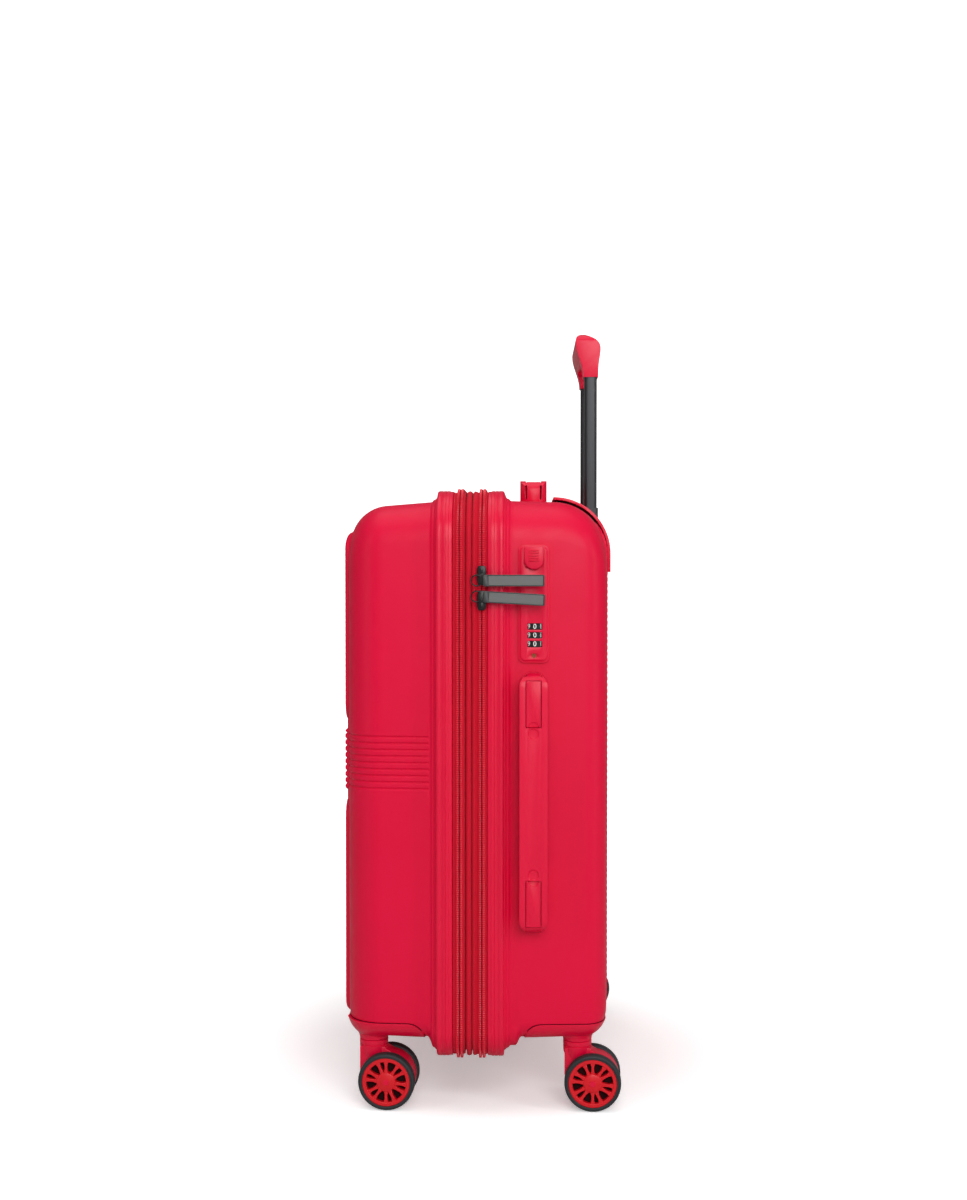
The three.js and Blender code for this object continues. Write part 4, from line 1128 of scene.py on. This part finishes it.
def makeCasters():
    tree = roundAxleTree()
    for half in ("front", "rear"):
        for side in ("right", "left"):
            makeGuard(half, side)
            makeFork(half, side)
            axis, turn, centreA, centreB = casterAxis(half, side)
            for which, centre, outward in (("a", centreA, 1), ("b", centreB, -1)):
                place = f"{half}_{side}_{which}"
                makeWheel(f"wheel_{place}", f"wheel_{place}", centre, turn, tree, outward,
                          (f"wheel_rim_{place}", f"wheel_tyre_{place}"))


makeCasters()
print("corner guards and casters made")


# Trolley: three nested stages of rounded tube, the bezel strip over the case's back edge, and the grip.
trolleyForm = {"corner": 3.6, "wall": 1.2, "strip": 3.0, "gripCut": (98.0, 18.5, 9.0), "standOff": 3.0,
               "drop": 146.0}


def tube(name, node, body):
    low, high = boxOf(node)
    centre = (low + high) / 2
    wide, deep = high[0] - low[0], high[1] - low[1]
    outside = roundedOutline(wide, deep, trolleyForm["corner"], centre[0], centre[1], 7)
    thin = trolleyForm["wall"]
    inside = roundedOutline(wide - 2 * thin, deep - 2 * thin, trolleyForm["corner"] - thin, centre[0],
                            centre[1], 7)
    count = len(outside)
    levels = [low[2], low[2] + 0.4, high[2] - 0.4, high[2]]
    points = [(u, v, z) for z in levels for u, v in outside]
    points += [(u, v, z) for z in (low[2], high[2]) for u, v in inside]
    faces = []
    for j in range(3):
        faces += [(j * count + i, j * count + (i + 1) % count, (j + 1) * count + (i + 1) % count,
                   (j + 1) * count + i)
                  for i in range(count)]
    a, b = 4 * count, 5 * count
    for i in range(count):
        n = (i + 1) % count
        faces += [(a + n, a + i, b + i, b + n), (n, i, a + i, a + n),
                  (3 * count + i, 3 * count + n, b + n, b + i)]
    return finishPiece(meshPiece(name, points, faces), body, finish["tube"], node, 40)


def makeTrolley():
    for side in ("right", "left"):
        tube(f"grip_tube_{side}", f"trolley_inner_tube_{side}", "trolley_inner")
        tube(f"second_tube_{side}", f"trolley_middle_tube_{side}", "trolley_middle")
        tube(f"fixed_tube_{side}", f"trolley_outer_tube_{side}", "case_back")
    low, high = boxOf("trolley_tube_foot")
    foot = prism("tube_foot", roundedOutline(high[0] - low[0], high[1] - low[1], 3, 0,
                                             (low[1] + high[1]) / 2), "z", low[2], high[2])
    finishPiece(softened(foot, 0.8), "case_back", finish["tyre"], "trolley_tube_foot")

    low, high = boxOf("trolley_bezel")
    outer, back = high[2], high[1]
    radius = rearForm["radii"][0]
    centre = (back - (radius + 4.7), outer - (radius + 4.7))
    top, thick = radius + 4.7 + trolleyForm["standOff"], trolleyForm["strip"]

    def strip(far, near, start, end):
        line = [(start, centre[1] + far)]
        line += [(centre[0] + far * math.cos(a), centre[1] + far * math.sin(a))
                 for a in np.linspace(math.pi / 2, 0, 24)]
        line += [(centre[0] + far, end), (centre[0] + near, end)]
        line += [(centre[0] + near * math.cos(a), centre[1] + near * math.sin(a))
                 for a in np.linspace(0, math.pi / 2, 24)]
        line += [(start, centre[1] + near)]
        return line

    band = prism("band", strip(top, top - thick, low[1], low[2]), "x", low[0], high[0])
    # a dark plate set in under the bezel strip: painted shade of the slot between strip and shell
    core = prism("core", strip(top - thick, radius - 0.6, low[1] + 4, low[2] + 8), "x", low[0] + 7,
                 high[0] - 7)
    for side in ("right", "left"):
        inner, outerBox = boxOf(f"trolley_middle_tube_{side}")
        middleX, middleY = (inner[0] + outerBox[0]) / 2, (inner[1] + outerBox[1]) / 2
        wide, deep = outerBox[0] - inner[0] + 1.2, outerBox[1] - inner[1] + 1.2
        for target in (band, core):
            shaped(target, prism("hole", roundedOutline(wide, deep, 4, middleX, middleY), "z", low[2],
                                 outer + 20), "DIFFERENCE")
    gripLow, gripHigh = boxOf("trolley_grip")
    tubeHigh = boxOf("trolley_inner_tube_right")[1]
    seat = (gripLow[1] + 7.5, tubeHigh[1] + 2.5)
    footprint = roundedOutline(gripHigh[0] - gripLow[0] + 2.4, seat[1] - seat[0], 3, 0, sum(seat) / 2)
    shaped(band, prism("seat", footprint, "z", gripLow[2] - trolleyForm["drop"] - 0.5, outer + 20),
           "DIFFERENCE")
    softened(band, 0.9, 3, 40)
    finishPiece(band, "case_back", finish["trim"], "trolley_bezel", 40).name = "bezel_strip"
    finishPiece(core, "case_back", finish["shadow"], (), 40).name = "bezel_core"

    low, high = boxOf("trolley_grip")
    bottom, topZ, front, rear = low[2], high[2], low[1], high[1]
    neckFront, neckBack = front + 8.7, tubeHigh[1] + 1.3

    def bezier(a, b, c, d, steps=10):
        a, b, c, d = map(np.array, (a, b, c, d))
        return [tuple((1 - t) ** 3 * a + 3 * t * (1 - t) ** 2 * b + 3 * t * t * (1 - t) * c + t ** 3 * d)
                for t in np.linspace(0, 1, steps, endpoint=False)]

    side = [(neckFront, bottom)]
    side += bezier((neckBack, bottom), (neckBack, bottom + 20), (rear, bottom + 22), (rear, topZ - 16))
    side += bezier((rear, topZ - 16), (rear, topZ - 8), (rear - 6, topZ - 4), (front + 10, topZ))
    side += bezier((front + 10, topZ), (front + 3, topZ), (front, topZ - 2), (front, topZ - 8))
    side += bezier((front, topZ - 8), (front, topZ - 22), (neckFront, bottom + 16), (neckFront, bottom))
    grip = prism("grip", side, "x", low[0], high[0])
    ends = roundedOutline(high[0] - low[0], topZ - bottom + 40, 9, 0, (topZ + bottom) / 2 - 20, 8)
    shaped(grip, prism("ends", ends, "y", front - 5, rear + 5), "INTERSECT")
    wide, rise, corner = trolleyForm["gripCut"]
    arch = roundedOutline(wide, 2 * rise, corner, 0, bottom, 8)
    shaped(grip, prism("arch", arch, "y", front - 5, rear + 5), "DIFFERENCE")
    buttonLow, buttonHigh = boxOf("trolley_button")
    bx, by = buttonHigh[0] - buttonLow[0], buttonHigh[1] - buttonLow[1]
    midY = (buttonLow[1] + buttonHigh[1]) / 2
    shaped(grip, prism("well", roundedOutline(bx + 0.8, by + 0.8, 3.4, 0, midY), "z", buttonLow[2] - 5,
                       topZ + 9), "DIFFERENCE")
    softened(grip, 1.6, 3, 40)
    finishPiece(grip, "trolley_inner", finish["trim"], "trolley_grip", 45).name = "pull_grip"
    button = prism("grip_button", roundedOutline(bx, by, 3, 0, midY), "z", buttonLow[2], buttonHigh[2])
    finishPiece(softened(button, 0.9, 3), "trolley_button", finish["trim"], "trolley_button", 45)


makeTrolley()
print("trolley made")


# Carry handles: a moulded bar that lifts on two fixed tongues.
handleForm = {"bar": 10.5, "end": 15.0, "ramp": 22.0, "plan": 14.0, "tongue": (48.0, 15.5), "inset": 8.0,
              "gap": 0.5,
              "slit": 2.4}


def makeHandle(which, turned):
    h = handleForm
    low, high = boxOf(f"{which}_handle_bar")
    spread = high - low
    length = spread[2] if turned else spread[0]
    width, height = spread[1], spread[0] if turned else spread[2]
    half = length / 2
    longTongue, wideTongue = h["tongue"]
    foot = half - h["inset"] - longTongue - 4

    def arc(cx, cz, start, stop, radius, steps=8):
        return [(cx + radius * math.cos(a), cz + radius * math.sin(a))
                for a in np.radians(np.linspace(start, stop, steps))]

    arch = [(half, 0), *arc(half - h["end"], height - h["end"], 0, 90, h["end"]),
            *arc(-half + h["end"], height - h["end"], 90, 180, h["end"]), (-half, 0), (-foot, 0),
            (-foot + h["ramp"] * 0.85, height - h["bar"] - 1),
            (-foot + h["ramp"] * 1.15, height - h["bar"]),
            (foot - h["ramp"] * 1.15, height - h["bar"]), (foot - h["ramp"] * 0.85, height - h["bar"] - 1),
            (foot, 0)]
    bar = prism("bar", arch, "y", -width / 2, width / 2)
    shaped(bar, prism("plan", roundedOutline(length, width, h["plan"], 0, 0, 10), "z", -1, height + 1),
           "INTERSECT")
    for sign in (1, -1):
        x = sign * (half - h["inset"] - longTongue / 2)
        window = roundedOutline(longTongue + 2 * h["gap"], wideTongue + 2 * h["gap"], 1.2, x, 0, 4)
        shaped(bar, prism("window", window, "z", -2, height + 2), "DIFFERENCE")
        for edge in (1, -1):
            slit = roundedOutline(h["slit"], height - 8, 1.0, edge * (wideTongue / 2 + 0.2), height / 2 - 1,
                                  4)
            reach = sorted((sign * (half - h["inset"] - 1), sign * (half + 2)))
            shaped(bar, prism("slit", slit, "x", *reach), "DIFFERENCE")
        inward = sign * (half - h["inset"] - longTongue - 6.5)
        notch = lathed("notch", [(0, height - 1.3), (4.6, height - 1.3), (6.8, height + 1),
                                 (0, height + 1)], "z", (inward, 0, 0))
        shaped(bar, notch, "DIFFERENCE")
    softened(bar, 1.3, 3, 40)
    middleX, middleY, middleZ = (low + high) / 2
    if turned:
        stand = shift(low[0], middleY, middleZ) @ Matrix.Rotation(math.pi / 2, 4, "Y")
    else:
        stand = shift(middleX, middleY, low[2])
    finishPiece(moved(bar, stand), f"{which}_handle", finish["trim"], f"{which}_handle_bar",
                40).name = f"{which}_carry_bar"
    for sign, name in ((1, "lower" if turned else "right"), (-1, "upper" if turned else "left")):
        node = f"{which}_handle_tongue_{name}"
        tongueHigh = boxOf(node)[1]
        top = (tongueHigh[0] - low[0]) if turned else (tongueHigh[2] - low[2])
        x = sign * (half - h["inset"] - longTongue / 2)
        post = prism("post", roundedOutline(longTongue, wideTongue, 1.0, x, 0, 4), "z", -3, top)
        dimple = lathed("dimple", [(0, top - 1.1), (wideTongue / 2 - 2.6, top - 1.1),
                                   (wideTongue / 2 - 1.4, top + 2), (0, top + 2)],
                        "z", (x - sign * longTongue / 2, 0, 0))
        shaped(post, dimple, "DIFFERENCE")
        softened(post, 0.6, 2, 40)
        finishPiece(moved(post, stand), "case_back", finish["trim"], node,
                    40).name = f"{which}_tongue_{name}"


makeHandle("side", True)
makeHandle("top", False)
print("carry handles made")


# Combination lock: stepped plate, three dials with digits, thumb release and key slot.
lockForm = {"corner": 7.0, "dialRadius": 10.6, "digitTall": 5.3, "window": (15.4, 6.7), "ridges": 5,
            "ridgePitch": 2.7, "slide": 4.2}


def digitMesh(sign, tall):
    curve = bpy.data.curves.new("digit", "FONT")
    curve.body = sign
    curve.size = tall * 1.42 / 1000
    curve.align_x = "CENTER"
    curve.align_y = "CENTER"
    curve.extrude = 0.00012
    curve.resolution_u = 3
    holder = bpy.data.objects.new("digit", curve)
    scene.collection.objects.link(holder)
    graph = bpy.context.evaluated_depsgraph_get()
    mesh = bpy.data.meshes.new_from_object(holder.evaluated_get(graph))
    bpy.data.objects.remove(holder)
    return mesh


def makeLock():
    k = lockForm
    low, high = boxOf("lock_housing")
    face = high[0]
    centre = (low + high) / 2
    dials = [boxOf(f"lock_dial_{i}") for i in (1, 2, 3)]
    releaseLow, releaseHigh = boxOf("lock_release")
    keyLow, keyHigh = boxOf("key_cylinder")
    outline = lambda shrink: roundedOutline(high[1] - low[1] - 2 * shrink, high[2] - low[2] - 2 * shrink,
                                            k["corner"] - shrink * 0.7, centre[1], centre[2], 8)
    levels = [(0, low[0] + 12), (0, face - 2.1), (0.4, face - 1.7), (1.5, face - 1.7), (1.9, face - 1.4),
              (2.7, face - 0.35),
              (3.3, face - 0.05), (3.8, face)]
    rings = [[(x, y, z) for y, z in outline(s)] for s, x in levels]
    count = len(rings[0])
    faces = [tuple(range(count))[::-1], tuple(range((len(rings) - 1) * count, len(rings) * count))]
    for j in range(len(rings) - 1):
        faces += [(j * count + i, j * count + (i + 1) % count, (j + 1) * count + (i + 1) % count,
                   (j + 1) * count + i)
                  for i in range(count)]
    plate = meshPiece("plate", [p for ring in rings for p in ring], faces)
    wide, tall = k["window"]
    for dialLow, dialHigh in dials:
        middleZ = (dialLow[2] + dialHigh[2]) / 2
        hole = roundedOutline(wide, tall, 0.9, (dialLow[1] + dialHigh[1]) / 2, middleZ, 3)
        shaped(plate, prism("hole", hole, "x", low[0] - 1, face + 3), "DIFFERENCE")
        bore = k["dialRadius"] + 0.35
        drumRoom = [(0, -tall / 2), (bore, -tall / 2), (bore, tall / 2), (0, tall / 2)]
        shaped(plate, lathed("bore", drumRoom, "z", (dialLow + dialHigh) / 2, 60), "DIFFERENCE")
    rw, rh = releaseHigh[1] - releaseLow[1] + 1.6, releaseHigh[2] - releaseLow[2] + 1.6
    releaseMid = (releaseLow + releaseHigh) / 2
    thumb = thumbOutline(rw, rh + k["slide"], releaseMid[1], releaseMid[2] - k["slide"] / 2)
    shaped(plate, prism("recess", thumb, "x", face - 1.4, face + 6), "DIFFERENCE")
    keyMid = (keyLow + keyHigh) / 2
    oval = [(keyMid[1] + 4.7 * math.cos(a), keyMid[2] + 2.7 * math.sin(a)) for a in np.linspace(0,
            2 * math.pi, 40)[:-1]]
    shaped(plate, prism("oval", oval, "x", face - 2.2, face + 2), "DIFFERENCE")
    softened(plate, 0.35, 2, 50)
    finishPiece(plate, "case_back", finish["trim"], "lock_housing", 40).name = "lock_plate"

    digits = {sign: digitMesh(sign, k["digitTall"]) for sign in "0123456789"}
    for i, (dialLow, dialHigh) in enumerate(dials):
        mid = (dialLow + dialHigh) / 2
        r, h = k["dialRadius"], (dialHigh[2] - dialLow[2]) / 2
        drum = lathed(f"dial_drum_{i + 1}", [(2.2, -h), (r - 0.7, -h), (r, -h + 0.5), (r, h - 0.5),
                                             (r - 0.7, h), (2.2, h)], "z",
                      (0, 0, 0), 60)
        finishPiece(moved(drum, shift(*mid)), f"lock_dial_{i + 1}", finish["dial"],
                    f"lock_dial_{i + 1}")
        work = bmesh.new()
        for n in range(10):
            mesh = digits[str(n)].copy()
            turn = 2 * math.pi * n / 10
            for v in mesh.vertices:
                a = v.co.x * 1000 / r + turn
                out = r + 0.02 + (0.08 if v.co.z > 0 else -0.1)
                v.co = (out * math.cos(a) / 1000, out * math.sin(a) / 1000, v.co.y)
            work.from_mesh(mesh)
        bmesh.ops.remove_doubles(work, verts=work.verts, dist=1e-7)
        bmesh.ops.recalc_face_normals(work, faces=work.faces)
        band = bpy.data.meshes.new(f"dial_digits_{i + 1}")
        work.to_mesh(band)
        work.free()
        ring = bpy.data.objects.new(f"dial_digits_{i + 1}", band)
        scene.collection.objects.link(ring)
        finishPiece(moved(ring, shift(*mid)), f"lock_dial_{i + 1}", finish["digit"])
    tab = prism("thumb_release", thumbOutline(rw - 1.6, rh - 1.6, releaseMid[1], releaseMid[2]), "x",
                face - 1.2, releaseHigh[0] - 0.7)
    softened(tab, 0.9, 3, 50)
    tab.data.materials.append(finish["trim"])
    ridges = []
    for n in range(k["ridges"]):
        z = releaseMid[2] + (n - (k["ridges"] - 1) / 2) * k["ridgePitch"] + 2
        ridge = capsule("ridge", rw - 9, 1.3, 1.3, 9, 10)
        ridge.data.materials.append(finish["trim"])
        ridges.append(moved(ridge, shift(releaseHigh[0] - 0.8, releaseMid[1],
                                         z) @ Matrix.Rotation(math.pi / 2, 4, "Y")))
    whole = joined("thumb_release", [tab, *ridges])
    finishPiece(whole, "lock_release", finish["trim"], "lock_release", 40)
    plug = lathed("key_plug", [(0, -7), (2.3, -7), (2.3, -0.35), (2.0, -0.05), (0.6, -0.05), (0.5, -0.9),
                               (0, -0.9)], "x",
                  (keyHigh[0] - 1.2, keyMid[1], keyMid[2]), 32)
    finishPiece(plug, "key_cylinder", finish["key"], "key_cylinder")


def thumbOutline(wide, tall, y, z):
    r = wide / 2
    line = [(y + r, z + tall / 2 - 2)]
    line += [(y + r - 2 + 2 * math.cos(a), z + tall / 2 - 2 + 2 * math.sin(a)) for a in np.linspace(0,
            math.pi / 2, 4)[1:]]
    line += [(y - r + 2 + 2 * math.cos(a), z + tall / 2 - 2 + 2 * math.sin(a))
             for a in np.linspace(math.pi / 2, math.pi, 4)]
    line += [(y + r * math.cos(a), z - tall / 2 + r + r * math.sin(a)) for a in np.linspace(math.pi,
            2 * math.pi, 18)]
    return line


makeLock()
print("lock made")


# Zip sliders and pullers.
pullForm = {"loop": 5.6, "wire": 0.75, "rim": 0.9, "sink": 0.5, "raise": 0.6}


def wireLoop(name, centre, radius, wire, start, stop, steps=26, sides=10):
    points, faces = [], []
    turns = np.linspace(math.radians(start), math.radians(stop), steps)
    for a in turns:
        for b in np.linspace(0, 2 * math.pi, sides, endpoint=False):
            r = radius + wire * math.cos(b)
            points.append((centre[0] + wire * math.sin(b), centre[1] + r * math.cos(a),
                           centre[2] + r * math.sin(a)))
    for j in range(steps - 1):
        faces += [(j * sides + k, j * sides + (k + 1) % sides, (j + 1) * sides + (k + 1) % sides,
                   (j + 1) * sides + k)
                  for k in range(sides)]
    faces += [tuple(range(sides))[::-1], tuple(range((steps - 1) * sides, steps * sides))]
    return meshPiece(name, points, faces)


def makePull(which, flip):
    p = pullForm
    low, high = boxOf(f"zip_slider_{which}")
    mid = (low + high) / 2
    base = low[0]
    # the slider's plan: blunt nose, wide shoulders, and a body that runs on beside its tab
    plan = [(-3.3, 6.3), (3.3, 6.3), (4.6, 3.5), (5.0, 0.0), (5.0, -9.0), (3.6, -14.0), (-3.6, -14.0),
            (-5.0, -9.0), (-5.0, 0.0),
            (-4.6, 3.5)]
    plan = [(y, z * flip) for y, z in plan]
    lower = prism("lower", plan, "x", base + 0.1, base + 1.7)
    upper = prism("upper", [(y * 0.9, z * 0.96) for y, z in plan], "x", base + 2.4, base + 3.5)
    wedge = prism("wedge", roundedOutline(3.0, 12, 1.2, 0, -2 * flip, 4), "x", base + 0.4, base + 3.2)
    nose = prism("nose", roundedOutline(3.4, 6, 1.5, 0, 1.4 * flip, 4), "x", base + 3.2, base + 6.2)
    lift = -9.0 if which == "upper" else 8.0
    bail = wireLoop("bail", (base + 4.4, -5.0, lift), p["loop"], p["wire"], 40, 320)
    for part in (lower, upper, wedge, nose):
        softened(part, 0.5, 2, 40)
    parts = [lower, upper, wedge, nose]
    for part in (*parts, bail):
        part.data.materials.append(finish["enamel"])
    slider = joined(f"slider_{which}", parts)
    finishPiece(moved(slider, shift(0, mid[1], mid[2])), f"zip_slider_{which}", finish["enamel"],
                f"zip_slider_{which}", 40)

    tilt = 0.0 if which == "upper" else math.radians(-3.3)
    thick, wide, start, end = 2.2, 12.0, 1.5, 65.0
    axisX = boxOf(f"zip_puller_{which}")[1][0] - thick / 2 + p["raise"]
    face = thick / 2
    tab = prism("tab", roundedOutline(end - start, wide, 1.6, (end + start) / 2, lift, 5), "x", -face, face)
    inner = roundedOutline(end - start - 2 * p["rim"] - 5, wide - 2 * p["rim"], 1.0,
                           (end + start) / 2 + 2.0, lift, 5)
    shaped(tab, prism("sunk", inner, "x", face - p["sink"], face + 2), "DIFFERENCE")
    softened(tab, 0.3, 2, 40)
    inlay = roundedOutline(end - start - 2 * p["rim"] - 5.5, wide - 2 * p["rim"] - 0.5, 0.8,
                           (end + start) / 2 + 2.0, lift, 5)
    panel = prism(f"puller_face_{which}", inlay, "x", face - p["sink"] - 0.1, face - 0.2)
    softened(panel, 0.12, 1, 40)
    moved(bail, shift(0, mid[1], mid[2]))
    finishPiece(bail, f"zip_puller_{which}", finish["enamel"], (),
                40).name = f"puller_ring_{which}"
    stand = shift(axisX, 0, mid[2]) @ Matrix.Rotation(tilt, 4, "X")
    tab.name = f"puller_tab_{which}"
    finishPiece(moved(tab, stand), f"zip_puller_{which}", finish["pullerEdge"],
                f"zip_puller_{which}", 40)
    finishPiece(moved(panel, stand), f"zip_puller_{which}", finish["puller"], (), 40)


makePull("upper", 1)
makePull("lower", -1)
print("zip sliders and pullers made")


# Side rails: ribbed runners that the case lies on.
def makeRail(half):
    node = f"{half}_side_rail"
    low, high = boxOf(node)
    middleY, middleZ = (low[1] + high[1]) / 2, (low[2] + high[2]) / 2
    wide, tall = high[1] - low[1], high[2] - low[2]
    runner = prism("runner", roundedOutline(wide, tall, wide / 2 - 0.5, middleY, middleZ, 8), "x", low[0],
                   low[0] + 24)
    slot = roundedOutline(3.0, tall - 30, 1.4, middleY, middleZ, 5)
    shaped(runner, prism("slot", slot, "x", low[0] - 1, low[0] + 1.2), "DIFFERENCE")
    softened(runner, 1.6, 3, 40)
    finishPiece(runner, "case_front" if half == "front" else "case_back", finish["trim"], node,
                40).name = f"{half}_runner"


makeRail("front")
makeRail("rear")
print("side runners made")


# Lining: in each half a flat panel and a strip round the walls, sewn together where they meet.
lining = {"clear": 1.3, "thick": 0.7, "wave": 0.9, "rear": (14.0, 104.0), "front": (39.0, 137.0),
          "lockRoom": 19.0,
          "lockZone": (30.0, 78.0, 464.0, 608.0)}


def aroundLock(points):
    y0, y1, z0, z1 = lining["lockZone"]
    y, z = points[:, 1], points[:, 2]
    room = np.clip((y - y0 + 12) / 12, 0, 1) * np.clip((y1 + 12 - y) / 12, 0, 1)
    room = room * np.clip((z - z0 + 12) / 12, 0, 1) * np.clip((z1 + 12 - z) / 12, 0, 1)
    soft = room * room * (3 - 2 * room)
    points[:, 0] = np.where(points[:, 0] > 150, points[:, 0] - lining["lockRoom"] * soft, points[:, 0])
    return points


def clothGrid(name, rows, across, body, cut):
    tall, wide = len(rows), len(rows[0])
    points = np.vstack(rows)
    faces, uv = [], []
    for j in range(tall - 1):
        for i in range(wide):
            n = (i + 1) % wide
            faces.append((j * wide + i, j * wide + n, (j + 1) * wide + n, (j + 1) * wide + i))
            uv += [across[j][i], across[j][i + 1], across[j + 1][i + 1], across[j + 1][i]]
    piece = meshPiece(name, points, faces, cornerUv=uv, recalculate=False)
    solid = piece.modifiers.new("thickness", "SOLIDIFY")
    solid.thickness = lining["thick"] / 1000
    solid.offset = 0.0
    plainMesh(piece)
    work = bmesh.new()
    work.from_mesh(piece.data)
    bmesh.ops.recalc_face_normals(work, faces=work.faces)
    work.to_mesh(piece.data)
    work.free()
    finishPiece(piece, body, finish["lining"], (), 60)
    print(name, "cut", round(cut[0] * 1000), "by", round(cut[1] * 1000), "mm")


def makeLining(half):
    form = rearForm if half == "rear" else frontForm
    body = "case_back" if half == "rear" else "case_front"
    start, end = lining[half]
    rowsUp = sorted({*range(115, 560, 25), *range(450, 581, 5)})
    weights = ringWeights(rowsUp)
    grow = np.full(len(weights), -case["wall"] - lining["clear"])
    rings = []
    for depth in np.linspace(start, end, 22):
        ring = wholeRing(ringAt(form, weights, np.full(len(weights), depth), grow))
        if half == "rear":
            ring = aroundLock(ring)
        rings.append(ring)
    steps = [np.linalg.norm(b - a, axis=1) for a, b in zip(rings[:-1], rings[1:])]
    loops = [np.linalg.norm(np.roll(ring, -1, 0) - ring, axis=1) for ring in rings]
    lengths = [float(loop.sum()) / 1000 for loop in loops]
    along = [np.append(0, np.cumsum(loop)) / 1000 for loop in loops]
    down = np.append(0, np.cumsum([step.mean() for step in steps])) / 1000
    uvs = [[(a, d) for a in line] for line, d in zip(along, down)]
    wallName = f"{half}_lining_wall"
    clothGrid(wallName, rings, uvs, body, (float(down[-1]), float(np.mean(lengths))))
    edge = rings[-1]
    centre = edge.mean(0)
    centre[1] = edge[0, 1]
    panel = []
    for s in [1, 0.97, 0.93, 0.88, *np.linspace(0.8, 0.04, 16)]:
        ring = centre + (edge - centre) * [s, 1, s]
        ring[:, 1] += lining["wave"] * (1 - s) ** 0.5 * np.sin(ring[:, 0] / 47) * np.sin(ring[:,
                2] / 61) * -1
        panel.append(ring)
    uvs = [[(p[0] / 1000, p[2] / 1000) for p in np.vstack([ring, ring[:1]])] for ring in panel]
    wide, tall = (edge.max(0) - edge.min(0))[[0, 2]] / 1000
    clothGrid(f"{half}_lining_panel", panel, uvs, body, (float(wide), float(tall)))


makeLining("rear")
makeLining("front")
print("lining made")
